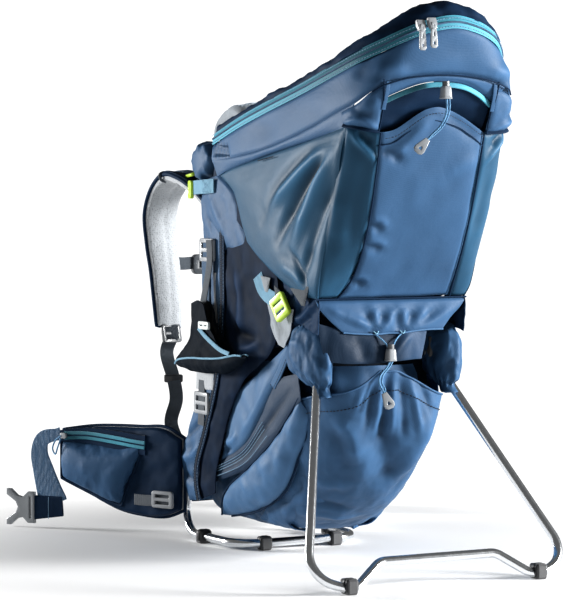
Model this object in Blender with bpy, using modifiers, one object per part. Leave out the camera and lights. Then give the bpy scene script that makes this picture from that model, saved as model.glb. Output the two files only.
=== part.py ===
"""Child-carrying backpack with a fold-out kickstand.

World frame: X across the wearer's back (the wearer's left is -X), +Y towards the wearer,
+Z up, floor at Z = 0, metres. Soft pieces are plain closed solids of the right size and place.
"""
import math

import bmesh
import bpy
from mathutils import Matrix, Vector

# ---- driving dimensions -------------------------------------------------------------------
TUBE_R = 0.006                # aluminium tube, 12 mm outside
INNER_TUBE_R = 0.005          # hidden 10 mm tubes and struts
GAP = 0.0004                  # clearance between touching pieces
PIVOT_X = 0.089               # hinge of the kickstand, each side
PIVOT_Y = -0.202
PIVOT_Z = 0.285
STAND_LEAN = math.radians(33.53)   # lean of the open kickstand from the vertical
STAND_FOOT_X = 0.140          # where the kickstand rests
BASE_HALF = 0.103             # half width of the ground loop
BASE_FRONT_Y = 0.010          # ground loop's cross bar
BASE_TUBE_Z = 0.0095
BACK_HALF = 0.100             # half distance between the upright tubes
UPRIGHT_TOP_Z = 0.495
SHELL_IN = 0.110              # inner and outer faces of the side panels
SHELL_OUT = 0.116
WEB_HIP = 0.038               # hip belt webbing
WEB_LIGHT = 0.020             # light webbing
CORD_R = 0.0014

FABRIC = (0.06, 0.12, 0.24)
PETROL = (0.03, 0.09, 0.16)
NAVY = (0.012, 0.024, 0.05)
GREY = (0.60, 0.62, 0.64)
METAL = (0.62, 0.64, 0.66)
BLACK = (0.02, 0.02, 0.022)
SILVER = (0.55, 0.57, 0.58)
LIME = (0.55, 0.72, 0.05)

SIDES = (("left", -1.0), ("right", 1.0))


# ---- scene set-up -------------------------------------------------------------------------
def clear_scene():
    for obj in list(bpy.data.objects):
        bpy.data.objects.remove(obj, do_unlink=True)


def new_collection(name):
    group = bpy.data.collections.new(name)
    bpy.context.scene.collection.children.link(group)
    return group


clear_scene()
PARTS = new_collection("baby_carrier_backpack")
CUTTERS = new_collection("cutters")


def paint(obj, colour, roughness=0.7, metallic=0.0):
    mat = bpy.data.materials.new(obj.name)
    mat.use_nodes = True
    shader = mat.node_tree.nodes["Principled BSDF"]
    shader.inputs["Base Color"].default_value = (*colour, 1.0)
    shader.inputs["Roughness"].default_value = roughness
    shader.inputs["Metallic"].default_value = metallic
    obj.data.materials.append(mat)


def add_mesh(name, bm, group=None):
    mesh = bpy.data.meshes.new(name)
    bm.to_mesh(mesh)
    bm.free()
    obj = bpy.data.objects.new(name, mesh)
    (group or PARTS).objects.link(obj)
    if group is CUTTERS:
        obj.hide_render = True
        obj.display_type = "WIRE"
    return obj


def bevel(obj, width, segments=1):
    mod = obj.modifiers.new("bevel", "BEVEL")
    mod.width = width
    mod.segments = segments
    mod.limit_method = "ANGLE"
    return obj


def cut(obj, cutter):
    mod = obj.modifiers.new("cut", "BOOLEAN")
    mod.operation = "DIFFERENCE"
    mod.object = cutter


def join(obj, other):
    mod = obj.modifiers.new("join", "BOOLEAN")
    mod.operation = "UNION"
    mod.object = other


# ---- shapes -------------------------------------------------------------------------------
def box(name, size, centre, rotation=(0.0, 0.0, 0.0), group=None):
    bm = bmesh.new()
    bmesh.ops.create_cube(bm, size=1.0)
    bmesh.ops.scale(bm, vec=size, verts=bm.verts)
    obj = add_mesh(name, bm, group)
    obj.location = centre
    obj.rotation_euler = rotation
    return obj


def rod(name, radius, length, centre, rotation=(0.0, 0.0, 0.0), sides=16, group=None):
    bm = bmesh.new()
    bmesh.ops.create_cone(bm, cap_ends=True, segments=sides, radius1=radius, radius2=radius, depth=length)
    obj = add_mesh(name, bm, group)
    obj.location = centre
    obj.rotation_euler = rotation
    return obj


def turned(name, profile, centre, rotation, steps=16):
    """Profile of (radius, height) pairs, top to bottom, turned about Z."""
    bm = bmesh.new()
    verts = [bm.verts.new((r, 0.0, h)) for r, h in profile]
    for first, second in zip(verts, verts[1:]):
        bm.edges.new((first, second))
    obj = add_mesh(name, bm)
    screw = obj.modifiers.new("turn", "SCREW")
    screw.steps = steps
    screw.render_steps = steps
    screw.use_merge_vertices = True
    screw.merge_threshold = 0.0001
    obj.location = centre
    obj.rotation_euler = rotation
    return obj


def loft(name, rings, group=None):
    """Closed solid through rings of equal point count."""
    bm = bmesh.new()
    rows = [[bm.verts.new(point) for point in ring] for ring in rings]
    count = len(rings[0])
    for low, high in zip(rows, rows[1:]):
        for i in range(count):
            j = (i + 1) % count
            bm.faces.new((low[i], low[j], high[j], high[i]))
    bm.faces.new(list(reversed(rows[0])))
    bm.faces.new(rows[-1])
    bmesh.ops.recalc_face_normals(bm, faces=bm.faces)
    return add_mesh(name, bm, group)


def mirrored(rings, side):
    return [[(side * x, y, z) for x, y, z in ring] for ring in rings]


def plate(name, outline, inner_x, outer_x, side):
    """Flat panel with a (Y, Z) outline, between two X planes on one side."""
    curve = bpy.data.curves.new(name, "CURVE")
    curve.dimensions = "2D"
    curve.fill_mode = "BOTH"
    curve.extrude = 0.5 * (outer_x - inner_x)
    spline = curve.splines.new("POLY")
    spline.points.add(len(outline) - 1)
    for point, (y, z) in zip(spline.points, outline):
        point.co = (y, z, 0.0, 1.0)
    spline.use_cyclic_u = True
    obj = bpy.data.objects.new(name, curve)
    PARTS.objects.link(obj)
    turn = Matrix(((0, 0, 1, 0), (1, 0, 0, 0), (0, 1, 0, 0), (0, 0, 0, 1)))
    obj.matrix_world = Matrix.Translation((side * 0.5 * (inner_x + outer_x), 0.0, 0.0)) @ turn
    return obj


def rounded(corners, radii, steps=5):
    """Polyline with each inner corner replaced by a tangent arc."""
    pts = [Vector(c) for c in corners]
    out = [pts[0]]
    for before, corner, after, radius in zip(pts, pts[1:], pts[2:], radii):
        back = (before - corner).normalized()
        ahead = (after - corner).normalized()
        half = 0.5 * back.angle(ahead)
        reach = radius / math.tan(half)
        centre = corner + (back + ahead).normalized() * (radius / math.sin(half))
        start = corner + back * reach - centre
        end = corner + ahead * reach - centre
        sweep = start.angle(end)
        for i in range(steps + 1):
            t = i / steps
            mix = start * math.sin((1 - t) * sweep) + end * math.sin(t * sweep)
            out.append(centre + mix / math.sin(sweep))
    out.append(pts[-1])
    return out


def smooth_route(points, count):
    """Evenly stepped points on a smooth curve through the given ones."""
    pts = [Vector(p) for p in points]
    pts = [2 * pts[0] - pts[1]] + pts + [2 * pts[-1] - pts[-2]]
    dense = []
    for a, b, c, d in zip(pts, pts[1:], pts[2:], pts[3:]):
        for i in range(24):
            t = i / 24
            dense.append(0.5 * (2 * b + (c - a) * t + (2 * a - 5 * b + 4 * c - d) * t * t
                                + (3 * b - a - 3 * c + d) * t ** 3))
    dense.append(pts[-2])
    total = sum((q - p).length for p, q in zip(dense, dense[1:]))
    out = [dense[0]]
    walked = 0.0
    for p, q in zip(dense, dense[1:]):
        walked += (q - p).length
        if walked >= total * len(out) / (count - 1) - 1e-9 and len(out) < count - 1:
            out.append(q)
    out.append(dense[-1])
    return out


def tube(name, points, radius, sides_level=2):
    curve = bpy.data.curves.new(name, "CURVE")
    curve.dimensions = "3D"
    curve.bevel_depth = radius
    curve.bevel_resolution = sides_level
    curve.use_fill_caps = True
    spline = curve.splines.new("POLY")
    spline.points.add(len(points) - 1)
    for point, place in zip(spline.points, points):
        point.co = (*place, 1.0)
    obj = bpy.data.objects.new(name, curve)
    PARTS.objects.link(obj)
    return obj


def to_mesh(obj, group=None):
    """Curve made a mesh, so that it can be cut or cut others."""
    bpy.context.view_layer.update()
    ready = obj.evaluated_get(bpy.context.evaluated_depsgraph_get())
    mesh = bpy.data.meshes.new_from_object(ready)
    bm = bmesh.new()
    bm.from_mesh(mesh)
    bmesh.ops.remove_doubles(bm, verts=bm.verts, dist=0.00005)
    bmesh.ops.recalc_face_normals(bm, faces=bm.faces)
    name = obj.name
    place = obj.matrix_world.copy()
    bpy.data.objects.remove(obj, do_unlink=True)
    made = add_mesh(name, bm, group)
    made.matrix_world = place
    return made


def band(name, path, widths, thickness, across):
    """Flat strip along a path; `across` is the direction of its width at each point."""
    pts = [Vector(p) for p in path]
    rings = []
    for i, point in enumerate(pts):
        ahead = (pts[min(i + 1, len(pts) - 1)] - pts[max(i - 1, 0)]).normalized()
        wide = Vector(across[i] if isinstance(across[0], tuple) else across)
        wide = (wide - ahead * wide.dot(ahead)).normalized()
        deep = ahead.cross(wide).normalized()
        w = 0.5 * (widths[i] if isinstance(widths, (list, tuple)) else widths)
        d = 0.5 * (thickness[i] if isinstance(thickness, (list, tuple)) else thickness)
        rings.append([tuple(point + wide * a * w + deep * b * d) for a, b in ((-1, -1), (1, -1), (1, 1), (-1, 1))])
    return loft(name, rings)


# ---- metal frame --------------------------------------------------------------------------
def upright_y(z):
    """Line of the upright tubes: leaning below the lumbar bend, nearly upright above it."""
    return 0.175 - 0.44 * (z - 0.045) if z < 0.24 else 0.0892 - 0.055 * (z - 0.24)


def base_route():
    right = [(0.0, BASE_FRONT_Y, BASE_TUBE_Z), (BASE_HALF - 0.006, BASE_FRONT_Y, BASE_TUBE_Z),
             (BASE_HALF, 0.178, BASE_TUBE_Z), (BACK_HALF, upright_y(0.085), 0.085)]
    half = rounded(right, (0.042, 0.034))[1:]
    left = [Vector((-p.x, p.y, p.z)) for p in reversed(half)]
    return left + half


def stand_point(across, along):
    """Point of the kickstand's own plane: distance across, and up the leg from the floor."""
    slope = Vector((0.0, math.sin(STAND_LEAN), math.cos(STAND_LEAN)))
    foot = Vector((0.0, PIVOT_Y, PIVOT_Z)) - slope * (PIVOT_Z / math.cos(STAND_LEAN))
    return foot + slope * along + Vector((across, 0.0, 0.0))


PIVOT_ALONG = PIVOT_Z / math.cos(STAND_LEAN)


def stand_route():
    corners = [(PIVOT_X, PIVOT_ALONG + 0.011), (PIVOT_X, PIVOT_ALONG - 0.013), (0.1925, 0.0275),
               (0.134, 0.0045), (0.086, 0.0415), (0.0, 0.0415)]
    half = rounded([stand_point(a, b) for a, b in corners], (0.03, 0.036, 0.030, 0.026), 6)[:-1]
    return half + [Vector((-p.x, p.y, p.z)) for p in reversed(half)]


def foot_clip(name, route, radius, place, size):
    """Rubber clip with a flat sole, bored by its tube."""
    clip = box(name, size, (place[0], place[1], 0.5 * size[2]))
    bevel(clip, 0.002)
    cutter = to_mesh(tube(name + "_bore", route, radius + GAP), CUTTERS)
    cut(clip, cutter)
    paint(clip, BLACK, 0.55)


def build_base():
    route = base_route()
    paint(tube("base_loop", route, TUBE_R), METAL, 0.25, 1.0)
    size = (0.016, 0.018, 0.0185)
    for name, side in SIDES:
        foot_clip("base_foot_front_" + name, route, TUBE_R, (side * 0.056, BASE_FRONT_Y), size)
        foot_clip("base_foot_side_" + name, route, TUBE_R, (side * 0.1014, 0.112), (0.018, 0.016, 0.0185))


def build_uprights():
    low = 0.085 + 2 * GAP
    heights = (low, 0.225, 0.255, UPRIGHT_TOP_Z)
    for name, side in SIDES:
        line = [(side * BACK_HALF, upright_y(z), z) for z in heights]
        paint(tube("side_tube_" + name, line, TUBE_R), METAL, 0.25, 1.0)


def build_hinges():
    for name, side in SIDES:
        centre = Vector((side * PIVOT_X, PIVOT_Y, PIVOT_Z))
        bracket = box("hinge_bracket_" + name, (0.023, 0.032, 0.032), centre + Vector((0, 0, 0.008)))
        bevel(bracket, 0.003)
        slot = box("hinge_slot_" + name, (0.0132, 0.10, 0.0645), centre + Vector((0, 0, -0.0173)), group=CUTTERS)
        bore = rod("hinge_bore_" + name, 0.0033, 0.05, centre, (0, math.pi / 2, 0), group=CUTTERS)
        cut(bracket, slot)
        cut(bracket, bore)
        paint(bracket, BLACK, 0.5)
        head, shank = 0.0142, 0.0119
        profile = ((0.0, head), (0.005, head), (0.005, shank), (0.0029, shank),
                   (0.0029, -shank), (0.005, -shank), (0.005, -head), (0.0, -head))
        pin = turned("hinge_pin_" + name, profile, centre, (0, math.pi / 2, 0))
        paint(pin, METAL, 0.3, 1.0)


def build_inner_frame():
    top = PIVOT_Z + 0.0272
    corners = [(PIVOT_X, PIVOT_Y - 0.003, top), (0.094, -0.222, 0.370), (0.096, -0.270, 0.480),
               (0.094, -0.302, 0.592), (0.0, -0.312, 0.600)]
    half = rounded(corners, (0.06, 0.06, 0.045))[:-1]
    bow = half + [Vector((-p.x, p.y, p.z)) for p in reversed(half)]
    paint(tube("hood_bow", bow, INNER_TUBE_R), METAL, 0.3, 1.0)
    for name, side in SIDES:
        strut = [(side * PIVOT_X, PIVOT_Y + 0.0165, PIVOT_Z + 0.012), (side * 0.0885, 0.080, PIVOT_Z + 0.02)]
        paint(tube("strut_" + name, strut, INNER_TUBE_R), METAL, 0.3, 1.0)


def build_stand():
    route = stand_route()
    bow = to_mesh(tube("stand_bow", route, TUBE_R))
    for name, side in SIDES:
        bore = rod("stand_bore_" + name, 0.0033, 0.05, (side * PIVOT_X, PIVOT_Y, PIVOT_Z),
                   (0, math.pi / 2, 0), group=CUTTERS)
        cut(bow, bore)
        place = stand_point(side * STAND_FOOT_X, 0.008)
        foot_clip("stand_foot_" + name, route, TUBE_R, (place.x, place.y), (0.015, 0.022, 0.019))
    paint(bow, METAL, 0.25, 1.0)


# ---- fabric body --------------------------------------------------------------------------
RIM_FRONT = (0.045, 0.548)    # (Y, Z) of the lower edge of the rim, at its two ends
RIM_BACK = (-0.322, 0.628)


def outer_edge_y(z):
    """Outer face of the body at its side edges."""
    return -0.237 - 0.4233 * (z - 0.363)


def pocket_face_y(z):
    """Outer face of the big pocket's centre panel."""
    return -0.247 - 0.60 * (z - 0.3645) + 0.35 * (z - 0.3645) ** 2


def build_side_panels():
    outline = [(0.072, 0.440), (-0.18, 0.375), (-0.232, 0.366), (outer_edge_y(0.45) + 0.008, 0.45),
               (outer_edge_y(0.578) + 0.008, 0.578), (RIM_BACK[0], RIM_BACK[1] - GAP),
               (RIM_FRONT[0], RIM_FRONT[1] - GAP), (0.055, 0.50)]
    for name, side in SIDES:
        paint(plate("side_panel_" + name, outline, SHELL_IN, SHELL_OUT, side), PETROL)


def build_rims():
    for name, side in SIDES:
        rings = []
        for (y, z), tall in ((RIM_FRONT, 0.040), ((-0.14, 0.5883), 0.044), (RIM_BACK, 0.050)):
            rings.append([(side * x, y, h) for x, h in ((0.092, z), (0.119, z), (0.119, z + 0.7 * tall),
                                                        (0.112, z + tall), (0.096, z + 0.95 * tall))])
        paint(loft("rim_" + name, rings), NAVY)


def build_outer_panel():
    rings = []
    for z in (0.366, 0.44, 0.52, 0.60):
        y = outer_edge_y(z)
        rings.append([(-0.109, y + 0.001, z), (0.109, y + 0.001, z), (0.109, y + 0.010, z), (-0.109, y + 0.010, z)])
    paint(loft("outer_panel", rings), PETROL)


def build_outer_pocket():
    rings = []
    for z, half in ((0.366, 0.072), (0.431, 0.061), (0.50, 0.064), (0.58, 0.0687), (0.606, 0.060)):
        edge = outer_edge_y(z) - GAP
        face = pocket_face_y(z) - 0.004
        rings.append([(-0.112, edge, z), (-half, face, z), (half, face, z), (0.112, edge, z)])
    paint(loft("outer_pocket", rings), FABRIC)


def build_hood():
    rings = []
    for x, drop, lean in ((-0.112, 0.048, 0.062), (-0.092, 0.024, 0.030), (-0.05, 0.006, 0.002), (0.0, 0.0, 0.0),
                          (0.05, 0.006, 0.002), (0.092, 0.024, 0.030), (0.112, 0.048, 0.062)):
        rings.append([(x, -0.388 + lean, 0.6085), (x, -0.410 + lean, 0.714 - drop), (x, -0.394 + lean, 0.732 - drop),
                      (x, -0.352 + 0.3 * lean, 0.737 - drop), (x, -0.324 + 0.02 * lean, 0.708 - drop),
                      (x, -0.3225, 0.6085)])
    paint(loft("hood_top", rings), FABRIC)


def build_front():
    rings = []
    for x, slim in ((-0.120, 0.016), (-0.108, 0.004), (-0.06, 0.0), (0.06, 0.0), (0.108, 0.004), (0.120, 0.016)):
        rings.append([(x, 0.060, 0.500 + slim), (x, 0.110, 0.500 + slim), (x, 0.142 - slim, 0.520),
                      (x, 0.146 - slim, 0.545), (x, 0.125 - slim, 0.568 - slim), (x, 0.060, 0.580 - slim)])
    paint(loft("front_bumper", rings), FABRIC)
    rings = []
    for x, drop in ((-0.066, 0.020), (-0.05, 0.004), (0.0, 0.0), (0.05, 0.004), (0.066, 0.020)):
        rings.append([(x, 0.034, 0.552), (x, 0.0595, 0.552), (x, 0.0595, 0.5806), (x, 0.1255, 0.5686),
                      (x, 0.134, 0.580), (x, 0.112, 0.620 - drop), (x, 0.070, 0.632 - drop), (x, 0.036, 0.616 - drop)])
    paint(loft("chin_pad", rings), GREY, 0.9)


def build_back():
    rings = []
    for z in (0.07, 0.15, 0.24, 0.36, 0.49):
        y = upright_y(z)
        rings.append([(-0.088, y - 0.005, z), (0.088, y - 0.005, z), (0.088, y + 0.005, z), (-0.088, y + 0.005, z)])
    paint(loft("back_panel", rings), NAVY)
    rings = []
    for z, deep in ((0.045, 0.012), (0.07, 0.026), (0.12, 0.032), (0.17, 0.026), (0.195, 0.012)):
        y = upright_y(z) + 0.0065
        rings.append([(-0.088, y, z), (0.088, y, z), (0.074, y + deep, z), (-0.074, y + deep, z)])
    paint(loft("lumbar_pad", rings), GREY, 0.9)
    outline = [(0.132, 0.162), (0.104, 0.240), (0.096, 0.34), (0.090, 0.492), (0.058, 0.492),
               (0.074, 0.436), (0.070, 0.34), (0.068, 0.250), (0.088, 0.162)]
    for name, side in SIDES:
        paint(plate("side_sleeve_" + name, outline, 0.1075, 0.117, side), FABRIC)


def build_child_seat():
    seat = box("child_seat", (0.124, 0.190, 0.022), (0.0, -0.075, 0.341), (math.radians(4), 0, 0))
    paint(bevel(seat, 0.006, 2), NAVY)
    tilt = math.atan(0.33)
    back = box("seat_back", (0.150, 0.022, 0.225), (0.0, -0.236, 0.478), (tilt, 0, 0))
    paint(bevel(back, 0.006, 2), GREY, 0.9)


def build_lower_bag():
    rings = []
    for z, half, outer_half, outer, inner in (
            (0.046, 0.070, 0.060, -0.088, 0.120), (0.075, 0.084, 0.078, -0.140, 0.138),
            (0.110, 0.090, 0.084, -0.178, 0.125), (0.160, 0.092, 0.082, -0.206, 0.100),
            (0.220, 0.090, 0.070, -0.216, 0.072), (0.272, 0.082, 0.066, -0.206, 0.066)):
        rings.append([(-half, inner, z), (half, inner, z), (half, -0.10, z), (outer_half, outer, z),
                      (-outer_half, outer, z), (-half, -0.10, z)])
    paint(loft("lower_bag", rings), FABRIC)


def pocket_wall(z, half, outer):
    """Open trough in plan: the stretch pocket's wall at one height."""
    wall = 0.004
    return [(-half, -0.165, z), (-half + 0.004, outer + 0.022, z), (-0.035, outer, z), (0.035, outer, z),
            (half - 0.004, outer + 0.022, z), (half, -0.165, z),
            (half - wall, -0.165, z), (half - 0.004 - wall, outer + 0.022 + wall, z), (0.033, outer + wall, z),
            (-0.033, outer + wall, z), (-half + 0.004 + wall, outer + 0.022 + wall, z), (-half + wall, -0.165, z)]


def build_outer_low():
    rows = ((0.140, 0.0945, -0.226), (0.190, 0.0945, -0.252), (0.235, 0.0890, -0.264), (0.252, 0.0850, -0.264))
    paint(loft("stretch_pocket", [pocket_wall(*row) for row in rows]), FABRIC)
    rings = []
    for z, half, y in ((0.312, 0.060, -0.246), (0.340, 0.066, -0.247), (0.3645, 0.071, -0.249)):
        rings.append([(-half, y, z), (half, y, z), (half, y + 0.006, z), (-half, y + 0.006, z)])
    paint(loft("hem_flap", rings), FABRIC)


def build_pods():
    for name, side in SIDES:
        centre = Vector((side * 0.1155, PIVOT_Y - 0.004, PIVOT_Z + 0.004))
        pod = rod("pivot_pod_" + name, 0.041, 0.020, centre, (0, math.pi / 2, 0), 20)
        paint(bevel(pod, 0.007, 2), FABRIC)


# ---- harness ------------------------------------------------------------------------------
def build_shoulder():
    yoke = box("shoulder_yoke", (0.150, 0.010, 0.110), (0.0, 0.0966, 0.420), (math.radians(3.15), 0, 0))
    paint(bevel(yoke, 0.003), GREY, 0.9)
    line = [(0.052, 0.1140, 0.440), (0.056, 0.128, 0.466), (0.061, 0.168, 0.492), (0.066, 0.212, 0.512),
            (0.070, 0.256, 0.518), (0.073, 0.292, 0.500), (0.075, 0.307, 0.465), (0.077, 0.300, 0.425),
            (0.079, 0.286, 0.385), (0.081, 0.278, 0.345), (0.082, 0.273, 0.300)]
    widths = (0.050, 0.056, 0.062, 0.066, 0.068, 0.068, 0.066, 0.062, 0.058, 0.054, 0.044)
    for name, side in SIDES:
        path = [(side * x, y, z) for x, y, z in line]
        lean = (side * 0.94, -0.30, 0.0)
        paint(band("shoulder_strap_" + name, path, widths, 0.015, lean), NAVY)
    buckle = box("sternum_buckle", (0.052, 0.010, 0.022), (0.0, 0.262, 0.392), (math.radians(-15), 0, 0))
    paint(bevel(buckle, 0.003, 2), BLACK, 0.4)


FIN_LINE = ((0.1125, 0.150), (0.128, 0.182), (0.146, 0.222), (0.166, 0.262), (0.190, 0.302), (0.222, 0.340))
FIN_ROWS = ((0.093, 0.100, 0.012), (0.091, 0.122, 0.018), (0.091, 0.120, 0.030), (0.091, 0.112, 0.034),
            (0.095, 0.092, 0.028), (0.102, 0.056, 0.012))


def build_hips():
    for name, side in SIDES:
        path = [(side * x, y, row[0]) for (x, y), row in zip(FIN_LINE, FIN_ROWS)]
        fin = band("hip_fin_" + name, path, [r[1] for r in FIN_ROWS], [r[2] for r in FIN_ROWS], (0.0, 0.0, 1.0))
        paint(fin, FABRIC)
        web_path = [(side * 0.2320, 0.3510, 0.0980), (side * 0.240, 0.359, 0.090), (side * 0.247, 0.366, 0.080),
                    (side * 0.2535, 0.376, 0.063)]
        web = band("hip_web_" + name, web_path, WEB_HIP, 0.003, (0.0, 0.35, 1.0))
        paint(web, NAVY)
    spots = (("hip_buckle_male", -1.0, 0.034), ("hip_buckle_female", 1.0, 0.040))
    for name, side, deep in spots:
        turn = math.atan2(0.376 - 0.353, 0.2535 - 0.236)
        buckle = box(name, (deep, 0.011, 0.048), (side * 0.2655, 0.3905, 0.048),
                     (0, side * math.radians(42), side * turn))
        if name == "hip_buckle_male":
            slot = box("prong_gap", (0.020, 0.03, 0.018), (side * 0.2765, 0.401, 0.0385),
                       (0, side * math.radians(42), side * turn), CUTTERS)
            cut(buckle, slot)
        paint(bevel(buckle, 0.002), SILVER, 0.4)


def build_stirrups():
    for name, side in SIDES:
        x = side * 0.1215
        strap = [(x, 0.086, 0.428), (x, 0.088, 0.36), (side * 0.123, 0.09, 0.285)]
        stirrup = band("stirrup_" + name, strap, WEB_LIGHT, 0.0025, (0.0, 1.0, 0.0))
        cup_rings = []
        for y, tall, half in ((0.030, 0.006, 0.007), (0.050, 0.018, 0.015), (0.085, 0.026, 0.018),
                              (0.120, 0.018, 0.016), (0.148, 0.007, 0.008)):
            cx = side * (0.119 + half)
            cup_rings.append([(cx - half, y, 0.262), (cx + half, y, 0.262), (cx + 0.7 * half, y, 0.262 - 0.6 * tall),
                              (cx, y, 0.262 - tall), (cx - 0.7 * half, y, 0.262 - 0.6 * tall)])
        cup = loft("stirrup_cup_" + name, cup_rings, CUTTERS)
        strap_foot = box("stirrup_foot_" + name, (0.0025, 0.020, 0.034), (side * 0.1232, 0.0905, 0.275), group=CUTTERS)
        join(stirrup, strap_foot)
        join(stirrup, cup)
        paint(stirrup, BLACK, 0.6)


# ---- zips, cords and locks ----------------------------------------------------------------
POCKET_LOCK = Vector((-0.0117, -0.4030, 0.6246))
HEM_LOCK = Vector((-0.0105, -0.2640, 0.2875))
POCKET_CORD = ((-0.0105, -0.4030, 0.6163), (-0.0085, -0.4005, 0.606), (-0.0070, -0.3935, 0.594),
               (-0.0100, -0.3855, 0.582), (-0.0190, -0.3810, 0.572), (-0.0245, -0.3790, 0.5655))
HEM_CORD = ((-0.0120, -0.2650, 0.2786), (-0.0190, -0.2665, 0.270), (-0.0285, -0.2685, 0.261),
            (-0.0310, -0.2705, 0.251), (-0.0275, -0.2725, 0.243), (-0.0255, -0.2735, 0.238))


def build_zips():
    for name, place, turn in (("zip_slider_left", (-0.0545, -0.4106, 0.7000), -24.0),
                              ("zip_slider_right", (-0.0405, -0.4142, 0.7030), 0.0)):
        slider = box(name, (0.009, 0.005, 0.012), place, (math.radians(8), 0, math.radians(turn)))
        pull = box(name + "_pull", (0.006, 0.0024, 0.030), (place[0], place[1] - 0.0012, place[2] - 0.016),
                   (0, 0, math.radians(turn)), CUTTERS)
        join(slider, pull)
        paint(slider, SILVER, 0.3, 0.8)


def cord_lock(prefix, centre):
    """Barrel lock with its sprung button on top."""
    body = rod(prefix + "_lock", 0.0075, 0.016, centre, sides=16)
    well = rod(prefix + "_well", 0.0052, 0.018, centre + Vector((0, 0, 0.0035)), sides=16, group=CUTTERS)
    cut(body, well)
    paint(body, SILVER, 0.4)
    button = rod(prefix + "_button", 0.0047, 0.0135, centre + Vector((0, 0, 0.0073)), sides=16)
    paint(button, SILVER, 0.4)


def build_cords():
    cord_lock("pocket_cord", POCKET_LOCK)
    paint(tube("pocket_cord", smooth_route(POCKET_CORD, 16), CORD_R), NAVY)
    end = box("pocket_cord_end", (0.016, 0.004, 0.022), (-0.0290, -0.3775, 0.5535), (math.radians(-18), math.radians(24), 0))
    paint(bevel(end, 0.0012), SILVER, 0.4)
    cord_lock("hem_cord", HEM_LOCK)
    paint(tube("hem_cord", smooth_route(HEM_CORD, 12), CORD_R), NAVY)
    for name, side in SIDES:
        lock = box("leg_lock_" + name, (0.006, 0.024, 0.028), (side * 0.1215, -0.1200, 0.352), (math.radians(-35), 0, 0))
        window = box("leg_lock_window_" + name, (0.03, 0.014, 0.007), (side * 0.1215, -0.1165, 0.3565),
                     (math.radians(-35), 0, 0), CUTTERS)
        cut(lock, window)
        paint(bevel(lock, 0.0012), LIME, 0.35)


build_base()
build_uprights()
build_hinges()
build_inner_frame()
build_stand()
build_side_panels()
build_rims()
build_outer_panel()
build_outer_pocket()
build_hood()
build_front()
build_back()
build_child_seat()
build_lower_bag()
build_outer_low()
build_pods()
build_shoulder()
build_hips()
build_stirrups()
build_zips()
build_cords()
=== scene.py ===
"""Looks of the child-carrying backpack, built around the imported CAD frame.

World frame: X across the wearer's back (the wearer's left is -X), +Y towards the wearer,
+Z up, floor at Z = 0, metres.
"""
import math

import bmesh
import bpy
import numpy as np
from mathutils import Matrix, Vector, noise


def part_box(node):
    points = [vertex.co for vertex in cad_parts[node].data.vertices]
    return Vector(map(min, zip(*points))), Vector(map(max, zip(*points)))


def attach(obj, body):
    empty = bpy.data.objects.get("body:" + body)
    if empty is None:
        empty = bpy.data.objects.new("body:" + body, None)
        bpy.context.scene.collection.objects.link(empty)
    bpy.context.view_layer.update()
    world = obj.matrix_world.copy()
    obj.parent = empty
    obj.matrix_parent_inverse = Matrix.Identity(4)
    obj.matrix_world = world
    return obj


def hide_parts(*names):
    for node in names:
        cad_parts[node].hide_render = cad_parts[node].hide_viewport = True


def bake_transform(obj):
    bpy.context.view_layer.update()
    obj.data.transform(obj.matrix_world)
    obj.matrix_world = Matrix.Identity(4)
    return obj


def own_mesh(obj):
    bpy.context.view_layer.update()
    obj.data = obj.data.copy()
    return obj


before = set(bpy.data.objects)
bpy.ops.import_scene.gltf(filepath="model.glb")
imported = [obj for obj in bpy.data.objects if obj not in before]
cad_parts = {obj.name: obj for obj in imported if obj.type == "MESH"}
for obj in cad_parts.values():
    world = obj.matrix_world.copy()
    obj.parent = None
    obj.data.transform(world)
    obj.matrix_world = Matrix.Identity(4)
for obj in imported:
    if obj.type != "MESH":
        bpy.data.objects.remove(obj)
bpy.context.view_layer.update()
SIDES = (("left", -1.0), ("right", 1.0))
TUBE_R = 0.006
CORD_R = 0.0014
SIDE_X = 116.5                # outer face of the side panels, in millimetres as every outline is
CENTRE = np.array((0.0, -0.13, 0.40))
SKY_LIGHT = 0.13              # how bright the surroundings are to the object
SKY_SEEN = 1.0                # and to the camera
CAMERA_AT = (-1.6417, -3.0925, 0.4963)
CAMERA_DIP = math.radians(2.405)
CAMERA_TURN = math.radians(27.5)
LAMPS = (("key", (2.3, -1.7, 0.80), 200.0, (0, -0.2, 0.40)),
         ("side", (-2.2, 2.2, 0.70), 120.0, (0, -0.1, 0.35)))
LAMP_SIZE = 0.8
SHADE_GAIN = 150.0            # how strongly the folds of a sheet darken and lighten it
PAD_SHADE_GAIN = 170.0        # and those of a cushion


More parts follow.
